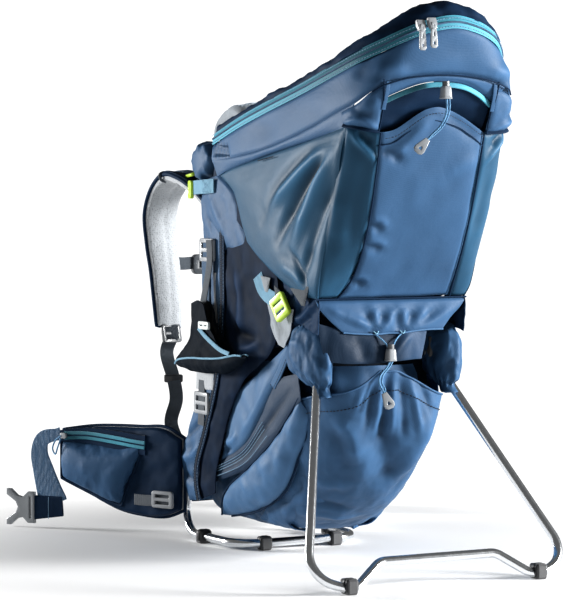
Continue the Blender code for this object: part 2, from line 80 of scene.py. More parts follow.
# ---- materials ----------------------------------------------------------------------------
class Graph:
    """Short-hand for building a material's nodes."""

    def __init__(self, name):
        self.mat = bpy.data.materials.new(name)
        self.mat.use_nodes = True
        self.tree = self.mat.node_tree
        self.shader = self.tree.nodes["Principled BSDF"]

    def node(self, kind, links=None, **values):
        made = self.tree.nodes.new(kind)
        for key, value in values.items():
            if key in made.inputs:
                made.inputs[key].default_value = value
            else:
                setattr(made, key, value)
        for key, source in (links or {}).items():
            self.tree.links.new(source, made.inputs[key])
        return made

    def math(self, kind, a, b=None, c=None):
        made = self.tree.nodes.new("ShaderNodeMath")
        made.operation = kind
        for i, value in enumerate((a, b, c)):
            if isinstance(value, (int, float)):
                made.inputs[i].default_value = value
            elif value is not None:
                self.tree.links.new(value, made.inputs[i])
        return made.outputs[0]

    def mix(self, share, a, b):
        made = self.tree.nodes.new("ShaderNodeMix")
        made.data_type = "RGBA"
        for index, value in ((0, share), (6, a), (7, b)):
            if isinstance(value, (int, float)):
                made.inputs[index].default_value = value
            elif isinstance(value, tuple):
                made.inputs[index].default_value = (*value, 1.0)
            else:
                self.tree.links.new(value, made.inputs[index])
        return made.outputs[2]

    def place(self):
        return self.node("ShaderNodeTexCoord").outputs["Object"]

    def noise(self, scale, detail=2.0, rough=0.5, stretch=None):
        where = self.place()
        if stretch:
            where = self.node("ShaderNodeMapping", {"Vector": where}, Scale=stretch).outputs[0]
        return self.node("ShaderNodeTexNoise", {"Vector": where}, Scale=scale, Detail=detail,
                         Roughness=rough).outputs[0]

    def threads(self, pitch):
        """Height of a plain weave: threads crossing along the three axes."""
        where = self.place()
        waves = [self.node("ShaderNodeTexWave", {"Vector": where}, bands_direction=way, Scale=0.314 / pitch,
                           Distortion=0.6, Detail=1.0).outputs["Fac"] for way in ("X", "Y", "Z")]
        return self.math("ADD", self.math("ADD", waves[0], waves[1]), waves[2])

    def link(self, socket, source):
        self.tree.links.new(source, self.shader.inputs[socket])

    def bump(self, height, depth, strength=1.0):
        made = self.node("ShaderNodeBump", {"Height": height}, Strength=strength, Distance=depth)
        self.link("Normal", made.outputs[0])

    def set(self, **values):
        names = {"rough": "Roughness", "metal": "Metallic", "sheen": "Sheen Weight", "coat": "Coat Weight",
                 "spec": "Specular IOR Level", "sheen_rough": "Sheen Roughness",
                 "coat_rough": "Coat Roughness"}
        for key, value in values.items():
            self.shader.inputs[names[key]].default_value = value

    def tint(self):
        """Folds painted on the mesh: below 0 in a valley, above 0 on a crest."""
        return self.node("ShaderNodeAttribute", attribute_name="tint").outputs["Fac"]


def shade(colour, factor):
    return tuple(min(1.0, c * factor) for c in colour)


def fabric(name, colour, rough=0.5, pitch=0.0009, sheen=0.02, depth=0.00012, dark=0.14, light=1.9,
           mottle=14.0, spec=0.12):
    g = Graph(name)
    fold = g.tint()
    down = g.math("MINIMUM", g.math("MULTIPLY", fold, -1.0), 1.0)
    up = g.math("MINIMUM", fold, 1.0)
    patches = g.noise(mottle, 4.0, 0.6)
    fibres = g.noise(900.0, 2.0)
    base = g.mix(patches, shade(colour, 0.86), shade(colour, 1.12))
    base = g.mix(g.math("MULTIPLY", fibres, 0.35), base, shade(colour, 1.35))
    base = g.mix(g.math("MAXIMUM", down, 0.0), base, shade(colour, dark))
    base = g.mix(g.math("MAXIMUM", up, 0.0), base, shade(colour, light))
    worn = g.node("ShaderNodeNewGeometry").outputs["Pointiness"]
    worn = g.math("MULTIPLY", g.math("MAXIMUM", g.math("SUBTRACT", worn, 0.53), 0.0), 3.0)
    g.link("Base Color", g.mix(g.math("MINIMUM", worn, 0.25), base, shade(colour, 2.2)))
    g.link("Roughness", g.math("MULTIPLY_ADD", patches, 0.16, rough - 0.08))
    height = g.math("ADD", g.math("MULTIPLY", g.threads(pitch), 0.33),
                    g.math("MULTIPLY", g.noise(160.0, 3.0), 1.4))
    g.bump(height, depth)
    g.set(sheen=sheen, sheen_rough=0.35, spec=spec)
    g.shader.inputs["Sheen Tint"].default_value = (0.72, 0.86, 1.0, 1.0)
    return g.mat


def webbing(name, colour, rough=0.55):
    g = Graph(name)
    ribs = g.threads(0.0016)
    weave = g.noise(700.0, 2.0)
    tone = g.mix(g.noise(40.0, 3.0), shade(colour, 0.8), shade(colour, 1.35))
    tone = g.mix(g.math("MAXIMUM", g.math("MULTIPLY", g.tint(), -1.0), 0.0), tone, shade(colour, 0.35))
    g.link("Base Color", g.mix(g.math("MULTIPLY", weave, 0.4), tone, shade(colour, 1.7)))
    g.link("Roughness", g.math("MULTIPLY_ADD", weave, 0.2, rough - 0.1))
    g.bump(g.math("ADD", ribs, weave), 0.00025)
    g.set(sheen=0.05, spec=0.2)
    return g.mat


def spacer_mesh(name, colour, hole=0.0028):
    """Knitted spacer mesh: rows of small dark holes between rounded threads."""
    g = Graph(name)
    cell = g.node("ShaderNodeTexVoronoi", {"Vector": g.place()}, Scale=1.0 / hole,
                  Randomness=0.55).outputs["Distance"]
    open_share = g.math("MAXIMUM", g.math("MULTIPLY_ADD", cell, -3.2, 1.15), 0.0)
    tone = g.mix(g.noise(22.0, 3.0), shade(colour, 0.86), shade(colour, 1.08))
    tone = g.mix(g.math("MINIMUM", open_share, 0.75), tone, shade(colour, 0.28))
    g.link("Base Color", g.mix(g.math("MAXIMUM", g.math("MULTIPLY", g.tint(), -1.0), 0.0), tone,
                               shade(colour, 0.22)))
    g.link("Roughness", g.math("MULTIPLY_ADD", cell, 0.2, 0.7))
    g.bump(cell, 0.0007)
    g.set(sheen=0.35, spec=0.3)
    return g.mat


def plastic(name, colour, rough=0.35, coat=0.1):
    g = Graph(name)
    cloud = g.noise(60.0, 4.0, 0.6)
    worn = g.node("ShaderNodeNewGeometry").outputs["Pointiness"]
    worn = g.math("MINIMUM", g.math("MULTIPLY", g.math("MAXIMUM", g.math("SUBTRACT", worn, 0.52), 0.0),
                                    3.0), 0.4)
    tone = g.mix(cloud, shade(colour, 0.9), shade(colour, 1.12))
    g.link("Base Color", g.mix(worn, tone, tuple(0.6 * c + 0.22 for c in colour)))
    g.link("Roughness", g.math("MULTIPLY_ADD", g.noise(260.0, 3.0), 0.18, rough - 0.09))
    g.bump(g.noise(1100.0, 2.0), 0.00006)
    g.set(coat=coat, spec=0.5)
    return g.mat


def metal(name, colour, rough=0.16, streak=(1.0, 1.0, 1.0)):
    g = Graph(name)
    draw = g.noise(300.0, 3.0, 0.6, streak)
    g.link("Base Color", g.mix(draw, shade(colour, 0.88), shade(colour, 1.06)))
    g.link("Roughness", g.math("MULTIPLY_ADD", draw, 0.10, rough - 0.04))
    g.bump(draw, 0.00002)
    g.set(metal=1.0)
    return g.mat


SLATE = (0.038, 0.088, 0.168)
PETROL = (0.020, 0.066, 0.118)
NAVY = (0.009, 0.023, 0.050)
TEAL = (0.060, 0.230, 0.300)
LOOKS = {"slate": fabric("slate_polyester", SLATE, 0.48),
         "slate_light": fabric("slate_polyester_light", (0.060, 0.128, 0.232), 0.46),
         "petrol": fabric("petrol_ripstop", PETROL, 0.45, pitch=0.0012, sheen=0.03, depth=0.00009,
                          dark=0.12, light=2.6), "navy": fabric("navy_polyester", NAVY, 0.55, sheen=0.0,
            light=2.4, spec=0.05), "dark": fabric("black_lining", (0.004, 0.0075, 0.013), 0.6, sheen=0.0,
                                                  light=2.5, spec=0.03), "gloss_navy": fabric("navy_coated",
            (0.007, 0.015, 0.032), 0.55, sheen=0.0, depth=0.00006, light=4.0, spec=0.03),
         "slate_deep": fabric("slate_shaded", (0.011, 0.024, 0.046), 0.5, light=3.0),
         "teal": fabric("teal_zip_tape", TEAL, 0.5, pitch=0.0011, sheen=0.3, depth=0.0002, dark=0.34,
                        light=2.0, mottle=30.0),
         "mesh": spacer_mesh("grey_spacer_mesh", (0.40, 0.42, 0.44)),
         "webbing": webbing("grey_webbing", (0.056, 0.066, 0.078)),
         "webbing_light": webbing("light_webbing", (0.060, 0.118, 0.200)),
         "webbing_blue": webbing("blue_webbing", (0.034, 0.072, 0.126)),
         "webbing_pale": webbing("pale_webbing", (0.15, 0.29, 0.39)),
         "thread": webbing("sewing_thread", (0.010, 0.016, 0.028)),
         "thread_pale": webbing("pale_thread", (0.16, 0.27, 0.38)),
         "cord": webbing("cord_sheath", (0.10, 0.22, 0.36), 0.5),
         "silver": plastic("silver_plastic", (0.24, 0.255, 0.27), 0.32, 0.2),
         "white_plastic": plastic("white_plastic", (0.55, 0.60, 0.60), 0.35, 0.2),
         "black_plastic": plastic("black_plastic", (0.012, 0.013, 0.016), 0.34, 0.25),
         "dark_plastic": plastic("dark_grey_plastic", (0.035, 0.042, 0.050), 0.4, 0.15),
         "lime": plastic("lime_plastic", (0.46, 0.66, 0.035), 0.35, 0.1),
         "rubber": plastic("black_rubber", (0.010, 0.011, 0.014), 0.5, 0.0),
         "alloy": metal("polished_aluminium", (0.80, 0.82, 0.84), 0.17, (1.0, 1.0, 0.05)),
         "steel": metal("brushed_steel", (0.66, 0.68, 0.70), 0.28),
         "fleece": fabric("grey_fleece", (0.30, 0.325, 0.35), 0.85, pitch=0.0016, sheen=0.5, depth=0.0004,
                          dark=0.35, light=1.3, mottle=30.0),
         "grey_binding": webbing("grey_binding", (0.22, 0.24, 0.26))}


def settle(obj, look, body="root", replaces=()):
    """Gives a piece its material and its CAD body."""
    obj.data.materials.clear()
    obj.data.materials.append(LOOKS[look])
    if replaces:
        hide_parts(*replaces)
    if body:
        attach(obj, body)
    return obj


# ---- curves and grids ---------------------------------------------------------------------
def curve_through(points, count):
    """Evenly spaced points on a smooth curve through the given ones."""
    pts = np.array(points, float)
    ext = np.vstack([2 * pts[0] - pts[1], pts, 2 * pts[-1] - pts[-2]])
    t = np.linspace(0, 1, 16, endpoint=False)[:, None]
    runs = [0.5 * (2 * b + (c - a) * t + (2 * a - 5 * b + 4 * c - d) * t ** 2 + (3 * b - a - 3 * c + d)
                   * t ** 3) for a, b, c, d in zip(ext, ext[1:], ext[2:], ext[3:])]
    line = np.vstack([*runs, pts[-1:]])
    walked = np.r_[0, np.cumsum(np.linalg.norm(np.diff(line, axis=0), axis=1))]
    at = np.linspace(0, walked[-1], count)
    return np.stack([np.interp(at, walked, line[:, k]) for k in range(line.shape[1])], axis=1)


def rounded(corners, radii, steps=20):
    """Polyline with each inner corner replaced by a tangent arc."""
    pts = [Vector(c) for c in corners]
    out = [pts[0]]
    for before, corner, after, radius in zip(pts, pts[1:], pts[2:], radii):
        back = (before - corner).normalized()
        ahead = (after - corner).normalized()
        half = 0.5 * back.angle(ahead)
        reach = radius / math.tan(half)
        centre = corner + (back + ahead).normalized() * (radius / math.sin(half))
        start = corner + back * reach - centre
        end = corner + ahead * reach - centre
        sweep = start.angle(end)
        for i in range(steps + 1):
            t = i / steps
            mix = start * math.sin((1 - t) * sweep) + end * math.sin(t * sweep)
            out.append(centre + mix / math.sin(sweep))
    out.append(pts[-1])
    return out


def mm(*points):
    """Points given in millimetres."""
    return [tuple(v / 1000 for v in point) for point in points]


def sided(side, *points):
    """The same, mirrored to one side."""
    return [(side * x / 1000, y / 1000, z / 1000) for x, y, z in points]


def outline(side):
    """Function that puts (y, z) or (y, z, x) points, in millimetres, at a distance x on one side."""
    return lambda x, *points: [(side * (own[0] if own else x) / 1000, y / 1000, z / 1000)
                               for y, z, *own in points]


def mirror(points):
    return [(-x, y, z) for x, y, z in points]


def whole(half):
    """A line from the near front round the back to the far front, from its near half."""
    return list(half) + mirror(reversed(half[:-1]))


def coons(top, bottom, left, right, nu=40, nv=40):
    """Grid inside four edge curves; rows run from top to bottom."""
    u = np.linspace(0, 1, nu)[None, :, None]
    v = np.linspace(0, 1, nv)[:, None, None]
    t, b = curve_through(top, nu)[None], curve_through(bottom, nu)[None]
    l, r = curve_through(left, nv)[:, None], curve_through(right, nv)[:, None]
    corners = (1 - u) * (1 - v) * t[:, :1] + u * (1 - v) * t[:, -1:] + (1 - u) * v * b[:, :1] + u * v * b[:,
            -1:]
    return (1 - v) * t + v * b + (1 - u) * l + u * r - corners


def loft(lines, nu=40, nv=20):
    """Grid through several lines, one row after another."""
    rows = np.array([curve_through(line, nu) for line in lines])
    return np.array([curve_through(rows[:, i], nv) for i in range(nu)]).transpose(1, 0, 2)


def line_length(points):
    return sum(math.dist(a, b) for a, b in zip(points, points[1:]))


def normals(grid, out=None):
    n = np.cross(np.gradient(grid, axis=1), np.gradient(grid, axis=0))
    n /= np.maximum(np.linalg.norm(n, axis=2, keepdims=True), 1e-12)
    towards = grid.mean((0, 1)) - CENTRE if out is None else np.array(out, float)
    return n if (n.mean((0, 1)) @ towards) > 0 else -n


def near_line(grid, line):
    """Distance of each grid point from a line, and how far along it the nearest place is."""
    pts = curve_through(line, 25)
    a, d = pts[:-1], np.diff(pts, axis=0)
    rel = grid.reshape(-1, 1, 3) - a[None]
    t = np.clip((rel * d).sum(2) / (d * d).sum(1), 0, 1)
    gap = np.linalg.norm(rel - t[..., None] * d, axis=2)
    best = gap.argmin(1)
    pick = np.arange(len(best))
    return gap[pick, best].reshape(grid.shape[:2]), ((best + t[pick, best]) / 24).reshape(grid.shape[:2])


def folds(grid, lines):
    """Height field of folds: each is (line, width, height), tallest mid-way, positive for a crest."""
    total = np.zeros(grid.shape[:2])
    for line, width, height in lines:
        gap, along = near_line(grid, line)
        ends = np.clip(np.minimum(along, 1 - along) * 4, 0, 1)
        total += height * np.exp(-(gap / width) ** 2) * (0.25 + 0.75 * ends)
    return total


def crumple(grid, height, size=0.03, stretch=(1.0, 1.0, 1.0), seed=0.0):
    """Small uneven waves, longer along an axis whose stretch is small."""
    scaled = grid * (np.array(stretch) / size) + seed * 7.3
    flat = [noise.noise(Vector(p)) + 0.5 * noise.noise(Vector(p) * 2.1) for p in scaled.reshape(-1, 3)]
    return height * np.array(flat).reshape(grid.shape[:2])


def crown(grid, height, power=0.6):
    """Even swelling that dies out at the edges."""
    v, u = (np.linspace(0, 1, n) for n in grid.shape[:2])
    return height * (np.sin(np.pi * v)[:, None] * np.sin(np.pi * u)[None]) ** power


def tuck(grid, sides, depth=0.0016, reach=0.0035):
    """Fabric pulled down into the seam along the named sides (t, b, l, r)."""
    rows = np.linalg.norm(np.diff(grid, axis=0), axis=2)
    cols = np.linalg.norm(np.diff(grid, axis=1), axis=2)
    down = np.vstack([np.zeros((1, grid.shape[1])), np.cumsum(rows, axis=0)])
    over = np.hstack([np.zeros((grid.shape[0], 1)), np.cumsum(cols, axis=1)])
    away = {"t": down, "b": down[-1:] - down, "l": over, "r": over[:, -1:] - over}
    total = np.zeros(grid.shape[:2])
    for side in sides:
        total = np.minimum(total, -depth * np.exp(-(away[side] / reach) ** 2))
    return total


def add_mesh(name, verts, faces, tint=None, sharp=50.0):
    mesh = bpy.data.meshes.new(name)
    mesh.from_pydata(np.asarray(verts).tolist(), [], faces)
    bm = bmesh.new()
    bm.from_mesh(mesh)
    bmesh.ops.recalc_face_normals(bm, faces=bm.faces)
    bm.to_mesh(mesh)
    bm.free()
    mesh.shade_smooth()
    mesh.set_sharp_from_angle(angle=math.radians(sharp))
    if tint is not None:
        mesh.attributes.new("tint", "FLOAT", "POINT").data.foreach_set("value",
                np.asarray(tint, np.float32).ravel())
    obj = bpy.data.objects.new(name, mesh)
    bpy.context.scene.collection.objects.link(obj)
    return obj


def quads(rows, cols, start=0, wrap=False):
    """Faces of a grid of vertices; wrap joins each row's end to its start."""
    span = cols if wrap else cols - 1
    return [(start + r * cols + c, start + r * cols + (c + 1) % cols,
             start + (r + 1) * cols + (c + 1) % cols, start + (r + 1) * cols + c)
            for r in range(rows - 1) for c in range(span)]


def shell_faces(rows, cols):
    """Faces of two equal grids, one behind the other, joined round their edge."""
    total = rows * cols
    faces = quads(rows, cols) + quads(rows, cols, total)
    edge = [r * cols for r in range(rows)] + [(rows - 1) * cols + c for c in range(1, cols)]
    edge += [r * cols + cols - 1 for r in range(rows - 2, -1, -1)] + list(range(cols - 2, 0, -1))
    return faces + [(a, b, b + total, a + total) for a, b in zip(edge, edge[1:] + edge[:1])]


def cloth(name, grid, look, height=None, thick=0.0012, body="root", out=None, tint=None, replaces=()):
    """Sheet of fabric with real thickness, raised by a height field that also shades its folds."""
    n = normals(grid, out)
    height = np.zeros(grid.shape[:2]) if height is None else height
    front = grid + n * height[..., None]
    n = normals(front, out)
    back = front - n * thick
    shadow = np.clip(SHADE_GAIN * (height - blur(height, 40)), -1, 1) if tint is None else tint
    verts = np.vstack([front.reshape(-1, 3), back.reshape(-1, 3)])
    obj = add_mesh(name, verts, shell_faces(*grid.shape[:2]),
                   np.concatenate([shadow.ravel(), shadow.ravel()]))
    return settle(obj, look, body, replaces)


def hang(grid):
    """Declares a hanging sheet with the size it is cut to."""
    wide = max(line_length(row) for row in grid)
    long = max(line_length(column) for column in grid.transpose(1, 0, 2))
    wide, long = 1.04 * wide, 1.04 * long


def blur(field, times):
    for _ in range(times):
        pad = np.pad(field, 1, mode="edge")
        field = (pad[:-2, 1:-1] + pad[2:, 1:-1] + pad[1:-1, :-2] + pad[1:-1, 2:] + field) / 5
    return field


def frames_along(line, facing):
    """At each point of a line: its direction, its width direction and its facing."""
    ahead = np.gradient(line, axis=0)
    ahead /= np.linalg.norm(ahead, axis=1, keepdims=True)
    face = np.array(facing, float)
    face = curve_through(face, len(line)) if face.ndim == 2 else np.tile(face, (len(line), 1))
    wide = np.cross(ahead, face)
    wide /= np.linalg.norm(wide, axis=1, keepdims=True)
    return ahead, wide, np.cross(wide, ahead)


def ribbon(name, points, width, thick, facing, look, body="root", count=0, power=5.0, sides=20, lift=None,
           replaces=(), tint=None):
    """Strap along a line: a flat section with rounded edges, closed at both ends."""
    count = count or max(8, int(line_length(points) / 0.004))
    line = curve_through(points, count)
    ahead, wide, face = frames_along(line, facing)
    w = curve_through([[x, 0] for x in width], count)[:, 0] if isinstance(width,
            (tuple, list)) else np.full(count, width)
    d = curve_through([[x, 0] for x in thick], count)[:, 0] if isinstance(thick,
            (tuple, list)) else np.full(count, thick)
    angle = np.linspace(0, 2 * np.pi, sides, endpoint=False)
    cx = np.sign(np.cos(angle)) * np.abs(np.cos(angle)) ** (2 / power)
    cy = np.sign(np.sin(angle)) * np.abs(np.sin(angle)) ** (2 / power)
    rings = line[:, None] + wide[:, None] * (0.5 * w[:, None] * cx)[..., None] \
        + face[:, None] * (0.5 * d[:, None] * cy)[..., None]
    if lift is not None:
        rings = rings + face[:, None] * lift(np.linspace(0, 1, count)[:, None], cx[None], cy[None])[...,
                None]
    faces = quads(count, sides, wrap=True)
    faces += [tuple(range(sides)), tuple((count - 1) * sides + i for i in range(sides))]
    shadow = None if tint is None else np.repeat(tint(np.linspace(0, 1, count)), sides)
    return settle(add_mesh(name, rings.reshape(-1, 3), faces, shadow), look, body, replaces)


def rope(name, points, radius, look, body="root", replaces=(), closed=False, smooth=True, resolution=5):
    """Round tube, cord or piping along a line."""
    if smooth:
        points = curve_through(points, min(140, max(10, int(line_length(points) / (1.5 * radius)))))
    curve = bpy.data.curves.new(name, "CURVE")
    curve.dimensions = "3D"
    curve.bevel_depth = radius
    curve.bevel_resolution = resolution
    curve.use_fill_caps = True
    spline = curve.splines.new("POLY")
    spline.points.add(len(points) - 1)
    for point, place in zip(spline.points, points):
        point.co = (*place, 1.0)
    spline.use_cyclic_u = closed
    spline.use_smooth = True
    obj = bpy.data.objects.new(name, curve)
    bpy.context.scene.collection.objects.link(obj)
    return settle(obj, look, body, replaces)


def stitches(name, points, facing, look="thread", body="root", pitch=0.0042, length=0.0028, lift=0.0004,
             radius=0.00035):
    """Row of sewn stitches: small raised bars along a line."""
    line = curve_through(points, max(3, int(line_length(points) / pitch)))
    ahead, wide, face = frames_along(line, facing)
    verts, faces = [], []
    for p, a, w, f in zip(line, ahead, wide, face):
        base = len(verts)
        for s in (-0.5, 0.5):
            for cw, cf in ((-1, 0), (0, 1), (1, 0)):
                verts.append(p + a * s * length + w * cw * radius * 1.4 + f * (lift + cf * radius))
        faces += [(base, base + 1, base + 4, base + 3), (base + 1, base + 2, base + 5, base + 4),
                  (base, base + 3, base + 5, base + 2), (base, base + 2, base + 1),
                  (base + 3, base + 4, base + 5)]
    return settle(add_mesh(name, verts, faces), look, body)


def slab(name, outline, thick, matrix, look, body="root", holes=(), edge=0.0008, replaces=()):
    """Moulded plate: a flat outline with holes, given thickness and rounded edges, placed by a matrix."""
    curve = bpy.data.curves.new(name, "CURVE")
    curve.dimensions = "2D"
    curve.fill_mode = "BOTH"
    curve.extrude = 0.5 * thick - edge
    curve.bevel_depth = edge
    curve.bevel_resolution = 2
    for loop in (outline, *holes):
        spline = curve.splines.new("POLY")
        spline.points.add(len(loop) - 1)
        for point, (x, y) in zip(spline.points, loop):
            point.co = (x, y, 0.0, 1.0)
        spline.use_cyclic_u = True
    obj = bpy.data.objects.new(name, curve)
    bpy.context.scene.collection.objects.link(obj)
    obj.matrix_world = matrix
    bpy.context.view_layer.update()
    mesh = bpy.data.meshes.new_from_object(obj.evaluated_get(bpy.context.evaluated_depsgraph_get()))
    bpy.data.objects.remove(obj)
    mesh.transform(matrix)
    bm = bmesh.new()
    bm.from_mesh(mesh)
    bmesh.ops.remove_doubles(bm, verts=bm.verts, dist=0.00002)
    bmesh.ops.recalc_face_normals(bm, faces=bm.faces)
    bm.to_mesh(mesh)
    bm.free()
    mesh.shade_smooth()
    mesh.set_sharp_from_angle(angle=math.radians(35))
    made = bpy.data.objects.new(name, mesh)
    bpy.context.scene.collection.objects.link(made)
    return settle(made, look, body, replaces)


def rect(w, h, r=0.002, centre=(0.0, 0.0), steps=4):
    """Rounded rectangle outline."""
    out = []
    for sx, sy, a in ((1, 1, 0), (-1, 1, 90), (-1, -1, 180), (1, -1, 270)):
        for i in range(steps + 1):
            t = math.radians(a + 90 * i / steps)
            out.append((centre[0] + sx * (w / 2 - r) + r * math.cos(t), centre[1] + sy * (h / 2 - r)
                        + r * math.sin(t)))
    return out


def facing(place, out, up=(0, 0, 1)):
    """Matrix whose local Z looks along `out` and whose local Y is as near `up` as it can be."""
    z = Vector(out).normalized()
    x = Vector(up).cross(z).normalized()
    m = np.eye(4)
    m[:3, 0], m[:3, 1], m[:3, 2], m[:3, 3] = x, z.cross(x), z, place
    return Matrix(m.tolist())


# ---- camera, light and floor --------------------------------------------------------------
def build_camera():
    scene = bpy.context.scene
    cam = bpy.data.cameras.new("camera")
    cam.lens = 150
    cam.sensor_width = 36
    camera = bpy.data.objects.new("camera", cam)
    camera.location = CAMERA_AT
    camera.rotation_euler = (math.radians(90) - CAMERA_DIP, 0.0, -CAMERA_TURN)
    scene.collection.objects.link(camera)
    scene.camera = camera
    scene.view_settings.view_transform = "Standard"
    scene.view_settings.look = "Medium High Contrast"


def build_world():
    """Even white surroundings, brighter to the camera than to the object."""
    world = bpy.data.worlds.new("studio")
    world.use_nodes = True
    sky = world.node_tree.nodes["Background"]
    path = world.node_tree.nodes.new("ShaderNodeLightPath")
    level = world.node_tree.nodes.new("ShaderNodeMapRange")
    level.inputs["To Min"].default_value = SKY_LIGHT
    level.inputs["To Max"].default_value = SKY_SEEN
    world.node_tree.links.new(path.outputs["Is Camera Ray"], level.inputs["Value"])
    world.node_tree.links.new(level.outputs["Result"], sky.inputs["Strength"])
    sky.inputs["Color"].default_value = (1.0, 1.0, 1.0, 1.0)
    bpy.context.scene.world = world


def build_floor():
    """Pale floor that fades into the surroundings away from the object."""
    bm = bmesh.new()
    bmesh.ops.create_grid(bm, x_segments=2, y_segments=2, size=6.0)
    mesh = bpy.data.meshes.new("floor")
    bm.to_mesh(mesh)
    bm.free()
    floor = bpy.data.objects.new("floor", mesh)
    bpy.context.scene.collection.objects.link(floor)
    floor.location = (0, 0, -0.0004)
    g = Graph("pale_floor")
    g.link("Base Color", g.mix(g.noise(3.0), (0.93, 0.93, 0.93), (0.96, 0.96, 0.96)))
    g.set(rough=0.75, spec=0.2)
    away = g.node("ShaderNodeVectorMath", {"Vector": g.place()}, operation="LENGTH").outputs["Value"]
    share = g.node("ShaderNodeMapRange", {"Value": away}, interpolation_type="SMOOTHSTEP")
    share.inputs["From Min"].default_value = 0.30
    share.inputs["From Max"].default_value = 0.95
    glow = g.node("ShaderNodeEmission", Strength=SKY_SEEN)
    blend = g.node("ShaderNodeMixShader", {"Fac": share.outputs["Result"]})
    g.tree.links.new(g.shader.outputs[0], blend.inputs[1])
    g.tree.links.new(glow.outputs[0], blend.inputs[2])
    g.tree.links.new(blend.outputs[0], g.tree.nodes["Material Output"].inputs["Surface"])
    mesh.materials.append(g.mat)


def build_lamps():
    for name, place, power, aim in LAMPS:
        lamp = bpy.data.lights.new(name, "AREA")
        lamp.size = LAMP_SIZE
        lamp.energy = power
        light = bpy.data.objects.new(name, lamp)
        light.location = place
        light.rotation_euler = (Vector(aim) - Vector(place)).to_track_quat("-Z", "Y").to_euler()
        bpy.context.scene.collection.objects.link(light)


# ---- cords --------------------------------------------------------------------------------
POCKET_CORD = mm((-10.5, -403, 616.3), (-8.5, -400.5, 606), (-7, -393.5, 594), (-10, -385.5, 582),
                 (-19, -381, 572), (-24.5, -379, 565.5))
HEM_CORD = mm((-12, -265, 278.6), (-19, -266.5, 270), (-28.5, -268.5, 261), (-31, -270.5, 251),
              (-27.5, -272.5, 243), (-25.5, -273.5, 238))


def cord_end(name, top, towards, look="silver"):
    """Moulded pull: a tapered clamp that widens to a rounded triangular loop."""
    axis = (Vector(towards) - Vector(top)).normalized()
    outline = [(-0.0026, 0.0), (0.0026, 0.0), (0.0064, -0.0150), (0.0058, -0.0185), (0.0030, -0.0205),
               (-0.0030, -0.0205), (-0.0058, -0.0185), (-0.0064, -0.0150)]
    hole = [(-0.0034, -0.0168), (0.0034, -0.0168), (0.0022, -0.0118), (0.0, -0.0100), (-0.0022, -0.0118)]
    return slab(name, outline, 0.0042, facing(top, (-0.25, -1.0, 0.1), -axis), look, holes=(hole,),
                edge=0.001)


def cord_barrel(name, centre, look="silver"):
    """Squeeze lock: a square-shouldered barrel with a lipped foot."""
    rows = ((-0.0080, 0.0072), (-0.0066, 0.0076), (-0.0060, 0.0070), (-0.0040, 0.0069), (0.0030, 0.0064),
            (0.0066, 0.0060), (0.0078, 0.0052), (0.0080, 0.0046))
    sides = 28
    angle = np.linspace(0, 2 * np.pi, sides, endpoint=False)
    squareness = (np.abs(np.cos(angle)) ** 4 + np.abs(np.sin(angle)) ** 4) ** -0.25
    rings = [[(centre[0] + r * squareness[i] * math.cos(a), centre[1] + 0.86 * r * squareness[i]
               * math.sin(a), centre[2] + h) for i, a in enumerate(angle)] for h, r in rows]
    faces = quads(len(rows), sides, wrap=True)
    faces += [tuple(range(sides)), tuple((len(rows) - 1) * sides + i for i in range(sides))]
    return add_mesh(name, np.array(rings).reshape(-1, 3), faces, sharp=40)


def build_cords():
    for prefix, route, body in (("pocket_cord", POCKET_CORD, "pocket_button"),
                                ("hem_cord", HEM_CORD, "hem_button")):
        low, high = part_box(prefix + "_lock")
        centre = 0.5 * (low + high)
        settle(cord_barrel(prefix + "_barrel", centre), "silver", replaces=(prefix + "_lock",))
        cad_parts[prefix + "_button"].data.materials.clear()
        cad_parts[prefix + "_button"].data.materials.append(LOOKS["dark_plastic"])
        twin = [(x + 0.0036, y - 0.0008, z + 0.0003) for x, y, z in route[:-1]] + [
            (route[-1][0] + 0.0009, route[-1][1], route[-1][2] + 0.0006)]
        end = cord_end(prefix + "_pull", route[-1], 2 * Vector(route[-1]) - Vector(route[-2]))
        if prefix == "pocket_cord":
            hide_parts("pocket_cord_end")
        for name, points in ((prefix + "_line", route), (prefix + "_twin", twin)):
            made = rope(name, points, CORD_R if name.endswith("line") else 0.0011, "cord")
            if name.endswith("line"):
                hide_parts(prefix)
    hem = HEM_CORD[0]
    for name, start in (("hem_draw_left", (-0.0290, -0.2545, 0.3150)),
                        ("hem_draw_right", (0.0110, -0.2545, 0.3150))):
        rope(name, (start, (0.5 * (start[0] + hem[0]), -0.2600, 0.3065),
                    (hem[0] + (0.0045 if start[0] > 0 else -0.001), -0.2640, 0.2975)), 0.0011, "cord")


# ---- metal frame --------------------------------------------------------------------------
PIVOT = (0.089, -0.202, 0.285)
STAND_LEAN = math.radians(33.53)
PIVOT_ALONG = PIVOT[2] / math.cos(STAND_LEAN)


def upright_y(z):
    return 0.175 - 0.44 * (z - 0.045) if z < 0.24 else 0.0892 - 0.055 * (z - 0.24)


def stand_point(across, along):
    slope = Vector((0.0, math.sin(STAND_LEAN), math.cos(STAND_LEAN)))
    return Vector((across, PIVOT[1], PIVOT[2])) + slope * (along - PIVOT_ALONG)


